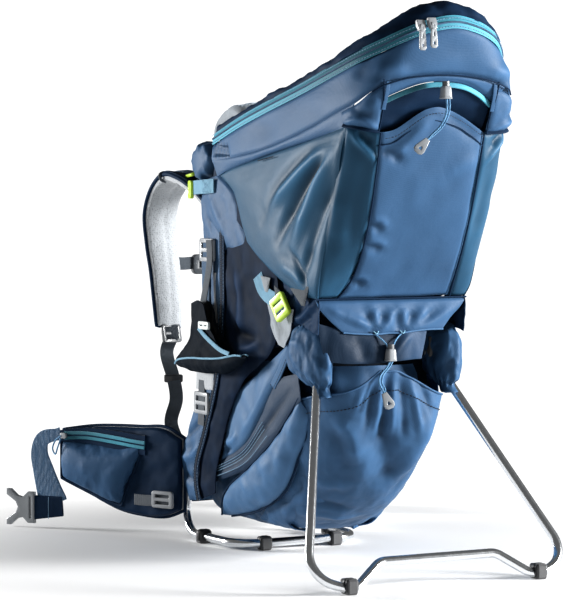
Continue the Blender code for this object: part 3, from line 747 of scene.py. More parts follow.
def build_metal():
    corners = [(PIVOT[0], PIVOT_ALONG + 0.011), (PIVOT[0], PIVOT_ALONG - 0.013), (0.1925, 0.0275),
               (0.134, 0.0045), (0.086, 0.0415), (0.0, 0.0415)]
    half = rounded([stand_point(a, b) for a, b in corners], (0.03, 0.036, 0.030, 0.026))[:-1]
    bow = half + [Vector((-p.x, p.y, p.z)) for p in reversed(half)]
    rope("stand_tube", bow, TUBE_R, "alloy", "stand", ("stand_bow",), smooth=False, resolution=8)
    right = [(0.0, 0.010, 0.0095), (0.097, 0.010, 0.0095), (0.103, 0.178, 0.0095),
             (0.100, upright_y(0.085), 0.085)]
    half = rounded(right, (0.042, 0.034))[1:]
    loop = [Vector((-p.x, p.y, p.z)) for p in reversed(half)] + half
    rope("base_tube", loop, TUBE_R, "alloy", replaces=("base_loop",), smooth=False, resolution=8)
    for name, side in SIDES:
        line = [(side * 0.100, upright_y(z), z) for z in (0.0858, 0.22, 0.24, 0.26, 0.495)]
        rope("upright_tube_" + name, line, TUBE_R, "alloy", replaces=("side_tube_" + name,), smooth=False,
             resolution=8)
        paint("strut_" + name, "alloy")
        paint("hinge_bracket_" + name, "black_plastic")
        paint("hinge_pin_" + name, "steel")
        for foot in ("base_foot_front_", "base_foot_side_"):
            clip_shell(foot + name)
        clip_shell("stand_foot_" + name, "stand")
    paint("hood_bow", "alloy")


def paint(node, look):
    """New material for a CAD node that keeps its own shape."""
    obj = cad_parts[node]
    obj.data.materials.clear()
    obj.data.materials.append(LOOKS[look])
    obj.data.shade_smooth()
    obj.data.set_sharp_from_angle(angle=math.radians(35))


def clip_shell(node, body="root"):
    """Rubber foot clip: its CAD solid, with a strap rib and a screw boss moulded on."""
    paint(node, "rubber")
    low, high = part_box(node)
    mid = 0.5 * (low + high)
    for name, y, w in ((node + "_rib", mid.y, 0.0045), (node + "_lip", low.y + 0.0035, 0.002)):
        slab(name, rect(high.x - low.x + 0.0012, high.z - low.z - 0.001, 0.005), w,
             facing((mid.x, y, mid.z + 0.0011), (0, 1, 0)), "rubber", body)


# ---- rim and hood -------------------------------------------------------------------------
ZIP_LOW = mm((-115, 52, 566), (-116.5, -33, 588), (-117, -120, 607), (-117, -208, 625), (-115.5, -290, 644),
             (-106, -345, 661), (-85, -378, 676), (-62, -398, 689), (-34, -406.5, 699), (0, -409.5, 704.5))
ZIP_WIDE = 0.0165
BAND_LOW = mm((-118.5, 48, 542), (-119, -37, 548), (-119, -103, 555), (-119, -169, 566), (-119, -239, 580),
              (-118, -306, 598), (-113, -349, 611), (-102, -374, 626), (-90, -383.5, 634), (-54, -389, 644),
              (0, -391, 648))
STRIP_LOW = mm((-116.5, 36, 522), (-116.5, -12, 533), (-116.5, -141, 553), (-116.5, -239, 567),
               (-116.5, -331, 582))


def raised(line, up, inward):
    """A line moved up and towards the cockpit."""
    out = []
    for x, y, z in line:
        away = np.array((x, min(0.0, y + 0.20), 0.0))
        away /= max(np.linalg.norm(away), 1e-9)
        out.append((x - inward * away[0], y - inward * away[1], z + up))
    return out


def build_rim():
    low = whole(ZIP_LOW)
    high = whole(raised(ZIP_LOW, ZIP_WIDE, 0.0045))
    tape = loft((low, whole(raised(ZIP_LOW, 0.5 * ZIP_WIDE, 0.0008)), high), 180, 9)
    run = np.linspace(0, 1, 180)[None] * np.ones((9, 1))
    dim = -0.75 * np.exp(-((run - 0.36) / 0.09) ** 2) + 0.55 * np.exp(-((run - 0.02) / 0.16) ** 2)
    dim += 0.5 * np.exp(-((run - 0.56) / 0.08) ** 2)
    cloth("rim_zip_tape", tape, "teal", np.full((9, 180), 0.0008), tint=dim)
    middle = whole(raised(ZIP_LOW, 0.5 * ZIP_WIDE, -0.0006))
    rope("rim_zip_coil", middle, 0.0013, "webbing_blue")
    side_face = [(-1, 0, 0), (-1, 0, 0.1), (-0.6, -0.8, 0.1), (0, -1, 0.2), (0.6, -0.8, 0.1), (1, 0, 0.1),
                 (1, 0, 0)]
    for i, up in enumerate((0.16, 0.80)):
        stitches(f"rim_zip_stitch_{i}", whole(raised(ZIP_LOW, up * ZIP_WIDE, -0.0006)), side_face,
                 "thread_pale")

    crest = [raised(ZIP_LOW, ZIP_WIDE + up, inward) for up, inward in ((-0.001, 0.0040), (0.0075, 0.0060),
                (0.0115, 0.0125), (0.0095, 0.0200), (0.000, 0.0255), (-0.020, 0.0275))]
    lifted = []
    for i, line in enumerate(crest):
        rise = (0.0, 0.3, 0.6, 0.9, 0.9, 0.6)[i]
        lifted.append(whole([(x, y + 0.022 * rise * max(0.0, (-y - 0.33) / 0.08),
                              z + 0.012 * rise * max(0.0, (-y - 0.30) / 0.11)) for x, y, z in line]))
    roll = loft(lifted, 200, 26)
    height = crumple(roll, 0.0022, 0.016, (1.0, 0.5, 1.6), 1.0) + crumple(roll, 0.0030, 0.045,
            (1.0, 0.6, 1.0), 2.0)
    cloth("rim_roll", roll, "navy", height, 0.0016, out=(0, 0, 1),
                    replaces=("rim_left", "rim_right"))


def build_band():
    """Slate band under the zip, from the front round the back, with its pleated near ends."""
    top = whole([(x * 1.004, y, z + 0.0012) for x, y, z in ZIP_LOW])
    band = loft((top, whole(BAND_LOW)), 200, 30)
    height = crown(band, 0.0030, 0.5) + tuck(band, "tb", 0.0016) + crumple(band, 0.0022, 0.07,
            (1, 0.6, 1.4), 3.0)
    for side in (-1, 1):
        for i in range(5):
            y = 0.044 - 0.011 * i
            height += folds(band,
                            [(((side * 0.117, y + 0.004, 0.573 - 0.001 * i),
                               (side * 0.119, y - 0.008, 0.545)), 0.0032, -0.0048)])
        height += folds(band, [(sided(side, (105, -368, 672), (112, -350, 640)), 0.010, -0.0035),
                               (sided(side, (100, -375, 650), (60, -395, 656)), 0.009, 0.0028),
                               (sided(side, (98, -379, 640), (70, -390, 641)), 0.006, -0.0022)])
    cloth("hood_band", band, "slate", height, 0.0014, replaces=("hood_top",))
    for name, side in SIDES:
        low = [(side * -x, y, z) for x, y, z in STRIP_LOW]
        seam = [(side * -x * 0.995, y, z + 0.002) for x, y, z in BAND_LOW[:7]]
        strip = coons(seam, low, (seam[0], low[0]), (seam[-1], low[-1]), 90, 14)
        height = crown(strip, 0.0035, 0.5) + crumple(strip, 0.0012, 0.03, (1, 0.4, 1), 4.0)
        cloth("band_strip_" + name, strip, "slate", height)
        stitches("band_bar_tack_" + name, [(side * 0.1225, y, 0.5475 - 0.11 * (y + 0.15))
                                           for y in (-0.103, -0.125, -0.146)], (side, 0, 0), pitch=0.0016,
                 length=0.003, radius=0.0005)


# ---- sides --------------------------------------------------------------------------------
def side_wing(name, side):
    """Large panel with its diagonal folds."""
    at = outline(side)
    top = at(SIDE_X, (33, 524), (-12, 535), (-141, 555), (-239, 569), (-334, 583, 117.5))
    left = at(SIDE_X, (33, 524), (-6, 505), (-20, 490), (-36, 460), (-55, 431))
    right = at(SIDE_X, (-334, 583, 117.5), (-316, 528, 118.5), (-294, 477, 117.5), (-276, 426, 117),
               (-260, 380), (-250, 361, 113))
    bottom = at(SIDE_X, (-55, 431), (-82, 415), (-126, 394), (-175, 375), (-212, 365),
                (-250, 361, 113))
    wing = coons(top, bottom, left, right, 90, 90)
    height = crown(wing, 0.006, 0.7) + tuck(wing, "tblr", 0.0018)
    crests = ((((-300, 556), (-252, 543), (-190, 510), (-130, 480)), 0.0120, 0.0075),
              (((-318, 556), (-290, 538), (-244, 478), (-205, 430)), 0.0125, 0.0085),
              (((-290, 490), (-262, 455), (-232, 415)), 0.0090, 0.0040),
              (((-236, 375), (-205, 392), (-160, 405)), 0.0080, 0.0035))
    hollows = ((((-290, 562), (-225, 542), (-160, 506), (-113, 462)), 0.0100, -0.0045),
               (((-305, 555), (-250, 522), (-196, 475), (-160, 435)), 0.0105, -0.0085),
               (((-312, 520), (-278, 475), (-250, 435), (-225, 385)), 0.0090, -0.0070),
               (((-238, 370), (-215, 405), (-195, 425)), 0.0060, -0.0040))
    height += folds(wing, [(at(SIDE_X, *line), width, tall) for line, width, tall in crests + hollows])
    height += crumple(wing, 0.0007, 0.06, (1.0, 1.0, 1.5), 5.0)
    cloth("side_wing_" + name, wing, "petrol", height, replaces=("side_panel_" + name,))


def side_front(name, side):
    """Narrow panel in front of the wing."""
    at = outline(side)
    edge = at(SIDE_X, (73, 517), (86, 489), (80, 454), (67, 429))
    low = at(SIDE_X, (67, 429), (19, 420), (-55, 431))
    seam = at(SIDE_X, (33, 524), (-6, 505), (-20, 490), (-36, 460), (-55, 431))
    strip = coons((edge[0], seam[0]), low, edge, seam, 50, 50)
    height = crown(strip, 0.003, 0.6) + tuck(strip, "r", 0.0018)
    height += folds(strip, [(at(SIDE_X, (60, 500), (30, 470), (0, 440)), 0.008, 0.003),
                            (at(SIDE_X, (70, 470), (45, 450), (15, 432)), 0.006, -0.0028)])
    cloth("side_front_" + name, strip, "slate", height + crumple(strip, 0.0014, 0.025, (1, 1, 1), 6.0))


def build_sides():
    for name, side in SIDES:
        side_wing(name, side)
        side_front(name, side)


# ---- outer pocket -------------------------------------------------------------------------
SEAM_NEAR = mm((-82, -361, 574), (-80, -347, 528), (-76, -324, 471), (-72, -297, 426), (-70, -271, 393),
               (-75, -255, 373), (-82, -249, 362))
SEAM_FAR = mm((71, -361, 576), (71, -347, 528), (73, -324, 470), (78, -296, 424), (84, -265, 384),
              (87, -249, 362))
POCKET_TOP = mm((-82, -361, 574), (-61, -363, 579), (-35, -369, 597), (-20, -372, 605), (0, -373, 607),
                (31, -369, 597), (71, -361, 576))
ARCH = mm((-85, -375, 613), (-62, -379, 623), (-36, -384, 632), (-12, -386, 635), (23, -385, 633),
          (50, -380, 624), (72, -373, 611))
WING_EDGE = mm((-117.5, -334, 583), (-118.5, -316, 528), (-117.5, -294, 477), (-117, -276, 426),
               (-116.5, -260, 380), (-113, -250, 361))


def moved(line, dx=0.0, dy=0.0, dz=0.0):
    return [(x + dx, y + dy, z + dz) for x, y, z in line]


def build_pocket():
    face = (0, -1, 0.35)
    bottom = mm((-82, -249, 362), (0, -250.5, 361.5), (87, -249, 362))
    panel = coons(POCKET_TOP, bottom, SEAM_NEAR, SEAM_FAR, 90, 110)
    height = crown(panel, 0.0045, 0.5) + tuck(panel, "blr", 0.0022, 0.004)
    dimples = (mm((-78, -350, 551), (-62, -352, 549), (-46, -350, 540)),
               mm((-78, -318, 458), (-64, -318, 456), (-52, -316, 447)),
               mm((-74, -300, 428), (-62, -302, 430), (-44, -300, 424)),
               mm((-72, -262, 380), (-62, -264, 384), (-50, -262, 378)))
    height += folds(panel, [(line, 0.007, -0.0042) for line in dimples])
    height += folds(panel, [(moved(line, 0.004, 0, 0.010), 0.006, 0.0022) for line in dimples])
    height += folds(panel, [(mm((-10, -372, 600), (-34, -366, 570), (-60, -355, 545)), 0.010, 0.0030),
                            (mm((4, -372, 603), (40, -364, 582), (66, -358, 566)), 0.009, -0.0022),
                            (mm((70, -350, 540), (45, -352, 535), (20, -350, 520)), 0.012, 0.0022)])
    height += crumple(panel, 0.0022, 0.06, (1, 1, 0.8), 8.0)
    cloth("pocket_panel", panel, "slate", height, out=face, replaces=("outer_pocket", "outer_panel"))
    stitches("pocket_panel_hem", moved(curve_through(POCKET_TOP, 30)[1:-1], 0, -0.0046, -0.008), face,
             "thread")
    for name, side, seam in (("left", -1, SEAM_NEAR), ("right", 1, SEAM_FAR)):
        edge = [(-side * x, y, z) for x, y, z in WING_EDGE]
        top = (edge[0], (side * 0.102, -0.350, 0.580), seam[0])
        low = (edge[-1], (side * 0.098, -0.2495, 0.3615), seam[-1])
        gusset = coons(top, low, edge, seam, 44, 100)
        height = crown(gusset, 0.0035, 0.6) + tuck(gusset, "tblr", 0.0022, 0.0035)
        height += folds(gusset, [(sided(side, (114, -340, 575), (98, -346, 558), (80, -350, 537)), 0.0050,
                                  0.0042), (sided(side, (106, -345, 578), (88, -352, 560)), 0.0060,
                                            -0.0040), (sided(side, (115, -300, 500), (100, -295, 430)),
                                                       0.014, 0.0030),
                                 (sided(side, (90, -335, 530), (88, -300, 440)), 0.010, -0.0025)])
        cloth("pocket_gusset_" + name, gusset, "petrol",
              height + crumple(gusset, 0.0018, 0.04, (1, 1, 0.5), 9.0 + side), out=(side, -1, 0))
        rope("pocket_piping_" + name, moved(seam, 0, -0.0012), 0.0011, "navy")
    seam = mm((-113, -250.5, 361), (-82, -251.5, 361.2), (0, -252.5, 361), (87, -251.5, 361.2),
              (113, -250.5, 361))
    rope("pocket_foot_seam", seam, 0.0012, "navy")


def yoke_wing(name, side, end):
    """Pleated end of the yoke, with the tape and cord that hang from it."""
    out = (0, -1, 0.2)
    top = [(side * 0.1185, -0.322, 0.6010), (side * 0.1130, -0.351, 0.6100),
           (side * 0.1020, -0.3745, 0.6255), (end[0], -0.3845, 0.6365 if side < 0 else 0.632)]
    low = [(side * 0.1185, -0.330, 0.5840), (side * 0.1120, -0.352, 0.5810), (side * 0.0985, -0.362, 0.5780),
           (end[0], -0.364, 0.5765)]
    wing = coons(top, low, (top[0], low[0]), (top[-1], (end[0], -0.3775, 0.608), low[-1]), 40, 30)
    height = crown(wing, 0.0028, 0.5) + tuck(wing, "tbr", 0.0018)
    height += folds(wing, [((low[0], (side * 0.108, -0.360, 0.5905), low[-1]), 0.0045, 0.0030),
                           (sided(side, (116, -345, 606), (98, -370, 597)), 0.005, -0.0024)])
    cloth("yoke_wing_" + name, wing, "slate", height + crumple(wing, 0.0012, 0.02, (1, 1, 1), 12.0),
          out=(side, -1, 0))
    ribbon("mouth_tape_" + name, [(end[0], -0.3865, 0.6375), (end[0] + side * 0.0006, -0.3830, 0.622),
                                  (end[0] + side * 0.0012, -0.3755, 0.603)], 0.0055, 0.0016, out, "slate")
    rope("yoke_cord_" + name, [(end[0] + side * 0.006, -0.3860, 0.640),
                               (end[0] + side * 0.0040, -0.3830, 0.622),
                               (end[0] + side * 0.0010, -0.3735, 0.600),
                               (end[0] + side * 0.001, -0.3645, 0.577)], 0.0009, "navy")
    ribbon("yoke_fold_" + name, [low[0], low[1], low[2], low[3]], 0.006, 0.0022, (side * 0.5, -1, 0.5),
           "navy")


def build_yoke():
    """Top of the pocket: the panel above the mouth, its teal binding and the dark mouth."""
    out = (0, -1, 0.2)
    band_low = whole(BAND_LOW)
    seam = [p for p in band_low if abs(p[0]) <= 0.1025]
    arch_top = moved(ARCH, 0, -0.0006, 0.0032)
    rim = [(-0.1020, -0.3735, 0.626)] + seam[1:-1] + [(0.1020, -0.3735, 0.626)]
    middle = loft((rim[1:-1], arch_top), 90, 14)
    height = crown(middle, 0.0022, 0.5) + tuck(middle, "tb", 0.0016)
    height += folds(middle, [(moved(arch_top, 0, 0, 0.0045), 0.0024, -0.0022)])
    cloth("yoke_arch", middle, "slate", height, out=out)
    stitches("yoke_arch_stitch", moved(arch_top, 0, -0.0012, 0.0062), out)
    rope("yoke_seam", moved(rim, 0, -0.0022, -0.0012), 0.0010, "navy")
    ribbon("mouth_binding", ARCH, 0.0066, 0.0030, out, "teal", power=3.0,
           tint=lambda t: np.where(t < 0.35, -0.8, 0.0) + 0.7 * np.exp(-((t - 0.8) / 0.18) ** 2))
    mouth = loft((moved(ARCH, 0, 0.002, 0.001), moved(ARCH, 0, 0.014, -0.020),
                  moved(POCKET_TOP, 0, 0.016, -0.010), moved(POCKET_TOP, 0, 0.002, -0.016)), 60, 24)
    height = folds(mouth, [(mm((-20, -366, 600), (-50, -360, 588), (-78, -356, 585)), 0.006, 0.003)])
    cloth("mouth_lining", mouth, "navy", height + crumple(mouth, 0.0018, 0.03, (0.5, 1, 1), 11.0), out=out)
    yoke_wing("left", -1, ARCH[0])
    yoke_wing("right", 1, ARCH[-1])


# ---- skirt and lower bag ------------------------------------------------------------------
SKIRT_HEM = mm((-76, -253.5, 317.5), (-52, -254.5, 315.5), (-29, -255, 314.5), (-8, -254, 315.5),
               (11, -255, 315.5), (30, -254, 317.5), (52, -253, 319), (76, -251, 319))


def build_skirt():
    face = (0, -1, 0)
    top = mm((-113, -250, 360.5), (-60, -250.8, 360.5), (0, -251, 360.5), (60, -250.8, 360.5),
             (113, -250, 360.5))
    near = mm((-113, -250, 360.5), (-110, -250.5, 350), (-95, -252.5, 333), (-76, -253.5, 317.5))
    far = mm((113, -250, 360.5), (104, -250, 348), (90, -250, 335), (76, -251, 319))
    skirt = coons(top, SKIRT_HEM, near, far, 110, 50)
    height = crown(skirt, 0.004, 0.5) + tuck(skirt, "t", 0.0022)
    rays = []
    for x, spreads in ((-0.029, (-0.060, -0.016, 0.014)), (0.011, (-0.012, 0.020, 0.058))):
        for spread in spreads:
            rays.append((((x, -0.255, 0.315), (x + 0.45 * spread, -0.255, 0.328),
                          (x + spread, -0.253, 0.345)), 0.0075, -0.0036))
            rays.append((((x + 0.006, -0.255, 0.317), (x + 0.012 + 0.6 * spread, -0.255, 0.331),
                          (x + 0.016 + 1.2 * spread, -0.253, 0.348)), 0.0075, 0.0034))
    rays.append((mm((-100, -251, 352), (-70, -254, 335), (-40, -255, 325)), 0.006, 0.0035))
    height += folds(skirt, rays) + crumple(skirt, 0.0010, 0.05, (1, 1, 1), 13.0)
    hung = cloth("skirt", skirt, "slate", height, out=face, replaces=("hem_flap",))
    hang(skirt)
    rope("skirt_hem", moved(SKIRT_HEM, 0, -0.0012), 0.0013, "slate_light")
    for x in (-0.029, 0.011):
        rope(f"skirt_eyelet_{'near' if x < 0 else 'far'}", [(x - 0.0035, -0.2575, 0.3185),
                                                            (x, -0.2590, 0.3150),
                                                            (x + 0.0035, -0.2575, 0.3185)], 0.0010,
             "webbing_pale")


def build_underflap():
    """Dark layer that shows below the hem."""
    face = (0, -1, 0)
    flap_top = moved(SKIRT_HEM, 0, 0.003, 0.004)
    flap_low = mm((-100, -250, 280), (-70, -256, 277), (-35, -257, 276.5), (0, -256, 278), (43, -252, 280.5))
    flap = coons(((-0.110, -0.2475, 0.330), *flap_top[:-2], (0.052, -0.2490, 0.3170)), flap_low,
                 mm((-110, -247.5, 330), (-106, -249, 305), (-100, -250, 280)),
                 mm((52, -249, 317), (48, -251, 300), (43, -252, 280.5)), 80, 30)
    height = crown(flap, 0.003, 0.6) + folds(flap, [(mm((30, -250, 315), (10, -255, 300), (-4, -256, 280)),
                                                    0.006, 0.0030),
                                                   (mm((-60, -250, 312), (-50, -255, 295), (-45, -256, 279)),
                                                    0.010, -0.0030)])
    under = cloth("skirt_underflap", flap, "slate_deep",
                  height + crumple(flap, 0.002, 0.03, (1, 1, 0.5), 14.0), out=face,
                  tint=np.clip((flap[..., 0] - 0.006) / 0.03, 0, 0.8)
                  + np.clip(250 * (height - blur(height, 8)), -0.6, 0.7))
    hang(flap)
    gap = coons(mm((-82, -196, 318), (82, -196, 318)), mm((-82, -200, 222), (82, -200, 222)),
                mm((-82, -196, 318), (-82, -200, 222)), mm((82, -196, 318), (82, -200, 222)), 30, 12)
    cloth("bag_neck_lining", gap, "dark", crumple(gap, 0.003, 0.03, (1, 1, 0.4), 15.0), out=face)


def build_lower_bag():
    rows = ((0.270, 0.084, -0.212, 0.070), (0.235, 0.090, -0.218, 0.068), (0.180, 0.092, -0.222, 0.085),
            (0.130, 0.090, -0.202, 0.110), (0.090, 0.086, -0.172, 0.128), (0.060, 0.078, -0.132, 0.135),
            (0.042, 0.062, -0.094, 0.125), (0.036, 0.035, -0.060, 0.090))
    lines = []
    for z, half, outer, inner in rows:
        near = [(-half + 0.004, inner, z), (-half - 0.001, 0.5 * inner, z), (-half - 0.002, 0.0, z),
                (-half, -0.085, z), (-0.86 * half, outer + 0.030, z), (-0.5 * half, outer + 0.006, z),
                (0.0, outer, z)]
        lines.append(whole(near))
    bag = loft(lines, 150, 60)
    height = crumple(bag, 0.003, 0.05, (1, 1, 0.8), 16.0) + crumple(bag, 0.0016, 0.02, (1, 1, 1), 17.0)
    cloth("bag_body", bag, "slate", height, out=(0, -1, 0), replaces=("lower_bag",))


def build_stretch_pocket():
    top = mm((-100, -150, 225), (-100.5, -184, 227.5), (-97.5, -222, 233), (-81, -250, 237.5),
             (-60, -261.5, 245.5), (-40, -263.5, 257), (-24, -265.5, 268), (-12, -264, 264),
             (-2, -266, 266.5), (12, -264, 260), (30, -262, 252), (58, -254, 238), (82, -234, 231),
             (96, -200, 227), (98, -150, 224))
    lines = [top, whole(mm((-96, -150, 190), (-93, -190, 190), (-79, -224, 190), (-48, -247, 190),
                           (0, -255, 190))), whole(mm((-93, -140, 150), (-88, -174, 148), (-73, -203, 146),
                                                      (-44, -225, 144), (0, -233, 143))),
             whole(mm((-90, -100, 110), (-81, -142, 106), (-65, -170, 102), (-40, -191, 100),
                      (0, -199, 98))), whole(mm((-86, -60, 72), (-74, -104, 70), (-58, -130, 68),
                                                (-36, -147, 66), (0, -155, 64))),
             whole(mm((-78, -20, 48), (-62, -58, 44), (-46, -78, 42), (-28, -90, 41), (0, -94, 40)))]
    wall = loft(lines, 170, 110)
    height = tuck(wall, "t", 0.001)
    for x, bend, tall in ((-0.048, -0.02, 0.004), (-0.034, -0.008, -0.0045), (-0.022, -0.004, 0.0038),
                          (-0.014, 0.0, -0.0042), (-0.006, 0.004, 0.0040), (0.006, 0.012, -0.0045),
                          (0.020, 0.022, 0.004), (0.036, 0.032, -0.0040)):
        height += folds(wall, [(((x, -0.262, 0.262 - 0.30 * abs(x + 0.01)), (x + 0.4 * bend, -0.258, 0.225),
                                 (x + bend, -0.252, 0.175)), 0.0055, tall)])
    height += folds(wall, [(mm((-30, -252, 205), (0, -240, 150), (30, -200, 105)), 0.020, -0.011),
                           (mm((60, -245, 215), (45, -235, 165), (20, -200, 105)), 0.015, 0.009),
                           (mm((-85, -235, 205), (-60, -245, 180), (-40, -230, 140)), 0.013, 0.008),
                           (mm((-98, -160, 100), (-70, -180, 110), (-30, -200, 115)), 0.009, 0.004),
                           (mm((-98, -130, 80), (-60, -160, 80), (-10, -170, 80)), 0.008, -0.0040),
                           (mm((-95, -100, 66), (-50, -140, 62), (10, -150, 60)), 0.007, 0.0035)])
    height += crumple(wall, 0.0045, 0.06, (1, 1, 0.6), 18.0) + crumple(wall, 0.0010, 0.020, (1, 1, 1), 19.0)
    cloth("pocket_stretch", wall, "slate", height, out=(0, -1, 0), replaces=("stretch_pocket",))
    n = normals(wall, (0, -1, 0))
    lip = [tuple(p) for p in (wall + n * (height + 0.0004)[..., None])[0, ::5]]
    rope("pocket_stretch_hem", lip, 0.0015, "slate")
    seam = (wall + n * (height + 0.0006)[..., None])[9]
    stitches("pocket_stretch_stitch", seam[::4], n[9][::12], "thread", pitch=0.005, length=0.003,
             radius=0.0005)


def side_triangle(name, side):
    """Panel between the side pouch and the kickstand pod."""
    at = outline(side)
    out = (side, -0.3, 0)
    top = at(105.5, (0, 226), (-60, 252), (-120, 282), (-170, 306), (-196, 318))
    low = at(106, (47, 122), (-30, 155), (-80, 200), (-125, 248), (-158, 288), (-190, 306))
    panel = coons(top, low, (top[0], (side * 0.1062, 0.020, 0.190), (side * 0.1062, 0.036, 0.158), low[0]),
                  (top[-1], low[-1]), 80, 50)
    height = crown(panel, 0.005, 0.6) + tuck(panel, "tbl", 0.0018)
    height += folds(panel, [(at(106, (-15, 160), (-60, 195), (-110, 245)), 0.008, 0.003),
                            (at(106, (30, 150), (0, 158), (-10, 172)), 0.006, 0.0032),
                            (at(106, (35, 140), (5, 145)), 0.005, -0.003)])
    cloth("side_triangle_" + name, panel, "slate_light",
          height + crumple(panel, 0.0014, 0.04, (1, 1, 1), 20.0), out=out)


def side_binding(name, side):
    at = outline(side)
    out = (side, -0.3, 0)
    edge = at(108.5, (-200, 322), (-170, 298), (-140, 262), (-118, 240))
    ribbon("side_binding_" + name, edge, 0.011, 0.0022, out, "slate_light")
    for i, shift in enumerate((-0.0035, 0.0035)):
        stitches(f"side_binding_stitch_{name}_{i}", moved(edge, side * 0.0012, shift, shift * 0.6), out)


def side_zip_band(name, side):
    """Band that covers the side zip, with its rows of stitches."""
    at = outline(side)
    out = (side, -0.3, 0)
    upper = at(106.8, (-186, 262), (-122, 246), (-80, 200), (-30, 155), (45, 125), (98, 106))
    lower = at(106.6, (-192, 226), (-157, 202), (-108, 163), (-36, 121), (62, 93), (98, 80))
    band = loft((upper, lower), 90, 18)
    height = crown(band, 0.0020, 0.6) + tuck(band, "tb", 0.0010)
    height += folds(band, [(at(108, (-165, 235), (-110, 195), (-40, 145), (40, 112)), 0.007, -0.003)])
    cloth("side_zip_band_" + name, band, "slate_deep",
          height + crumple(band, 0.0008, 0.03, (1, 1, 1), 21.0), out=out,
          tint=np.clip(260 * (height - blur(height, 8)), -0.5, 1) + 0.25)
    for i, share in enumerate((0.30, 0.42, 0.54, 0.78)):
        line = [tuple((1 - share) * np.array(a) + share * np.array(b)) for a, b in zip(upper[2:], lower[2:])]
        stitches(f"side_zip_stitch_{name}_{i}", moved(line, side * 0.0030), out, "thread_pale", pitch=0.0036)


def side_pouch(name, side):
    """Bellied pouch below the zip band; it flattens as the kickstand folds past it."""
    at = outline(side)
    out = (side, -0.3, 0)
    inner = at(106, (-186, 229), (-157, 202), (-108, 163), (-36, 121), (18, 93), (42, 70),
               (43, 48))
    outer = at(90, (-192, 205), (-180, 172), (-158, 145), (-142, 120), (-120, 97),
               (-85, 78), (-26, 58), (41, 46))
    pouch = coons(inner, outer, (inner[0], outer[0]),
                  (inner[-1], (side * 0.0990, 0.0425, 0.047), outer[-1]), 90, 50)
    height = crown(pouch, 0.015, 0.55) + tuck(pouch, "tb", 0.0030, 0.004)
    height += folds(pouch, [(at(110, (-175, 205), (-160, 165), (-150, 130)), 0.008, 0.0066),
                            (at(110, (-140, 180), (-120, 140), (-125, 105)), 0.008, -0.0076),
                            (at(110, (-30, 110), (-60, 90), (-110, 88)), 0.008, 0.0066),
                            (at(110, (30, 78), (-10, 85), (-60, 98)), 0.006, -0.0066),
                            (at(110, (30, 58), (0, 68), (-40, 75)), 0.005, 0.003)])
    height += crumple(pouch, 0.0022, 0.03, (1, 1, 1), 22.0)
    cover = cloth("side_pouch_" + name, pouch, "slate_light", height, out=out)
    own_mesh(cover)
    rope("side_pouch_piping_" + name, moved(outer, side * 0.001), 0.0016, "navy")
    rope("side_pouch_seam_" + name, moved(inner, -side * 0.0002), 0.0012, "navy")


def side_crook(name, side):
    """Crumpled corner above the pod."""
    at = outline(side)
    out = (side, -0.3, 0)
    crook = coons(at(116.5, (-150, 382), (-212, 365.5), (-250, 361.5)),
                  at(109, (-160, 318), (-205, 322), (-248, 315)),
                  at(110, (-150, 382), (-158, 350), (-160, 318)),
                  at(110, (-250, 361.5), (-252, 340), (-248, 315)), 50, 40)
    height = crown(crook, 0.003) + folds(crook, [
        (at(113, (-250, 360), (-215, 340), (-180, 325)), 0.006, 0.0050),
        (at(113, (-245, 345), (-210, 330), (-175, 320)), 0.005, -0.0050),
        (at(113, (-225, 362), (-195, 345), (-170, 345)), 0.006, -0.0045)])
    cloth("crook_" + name, crook, "navy", height + crumple(crook, 0.003, 0.02, (1, 1, 1), 23.0), out=out,
          tint=np.clip(200 * (height - blur(height, 6)), -0.8, 1) + 0.35)


def build_lower_side():
    for name, side in SIDES:
        side_triangle(name, side)
        side_binding(name, side)
        side_zip_band(name, side)
        side_pouch(name, side)
        side_crook(name, side)


def build_pods():
    rows = ((0.327, 0.003, 0.006, 0.098, -0.205), (0.324, 0.012, 0.024, 0.098, -0.205),
            (0.312, 0.019, 0.038, 0.098, -0.203), (0.296, 0.021, 0.045, 0.098, -0.202),
            (0.278, 0.0215, 0.047, 0.098, -0.203), (0.263, 0.020, 0.041, 0.098, -0.209),
            (0.252, 0.0145, 0.028, 0.0965, -0.221), (0.2455, 0.0100, 0.0140, 0.0948, -0.2285),
            (0.240, 0.0100, 0.0120, 0.0952, -0.2320), (0.234, 0.0110, 0.0130, 0.0960, -0.2360),
            (0.2325, 0.0080, 0.0095, 0.0962, -0.2370))
    for name, side in SIDES:
        angle = np.linspace(0, 2 * np.pi, 72)
        lines = [[(side * x + rx * math.cos(a), y + ry * math.sin(a), z) for a in angle] for z, rx, ry, x,
                 y in rows]
        pod = loft(lines, 110, 90)
        mid = np.array((side * 0.098, -0.205, 0.285))
        n = pod - mid
        n /= np.linalg.norm(n, axis=2, keepdims=True)
        height = crumple(pod, 0.0050, 0.022, (1.0, 1.0, 0.5), 24.0 + side) + crumple(pod, 0.0016, 0.010,
                (1, 1, 0.6), 25.0)
        fade = np.clip((pod[..., 2] - 0.236) / 0.02, 0.15, 1)
        gather = 0.0016 * np.sin(11 * np.arctan2(pod[..., 1] + 0.228, pod[..., 0] - side * 0.096)) \
            * np.exp(-((pod[..., 2] - 0.245) / 0.012) ** 2)
        arc = folds(pod,
                    [(sided(side, (122, -176, 300), (124, -215, 300), (123, -232, 282), (121, -218, 262)),
                      0.0050, 0.0050), (sided(side, (122, -165, 290), (124, -190, 268), (116, -222, 254)),
                                        0.0045, -0.0034)])
        moved_pod = pod + n * (height * fade + gather + arc)[..., None]
        faces = quads(90, 110)
        obj = add_mesh("pod_cover_" + name, moved_pod.reshape(-1, 3), faces,
                       np.clip(190 * ((height + arc) - blur(height + arc, 25)), -1, 1))
        weld(obj)
        settle(obj, "slate", body=None, replaces=("pivot_pod_" + name,))
        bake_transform(obj)


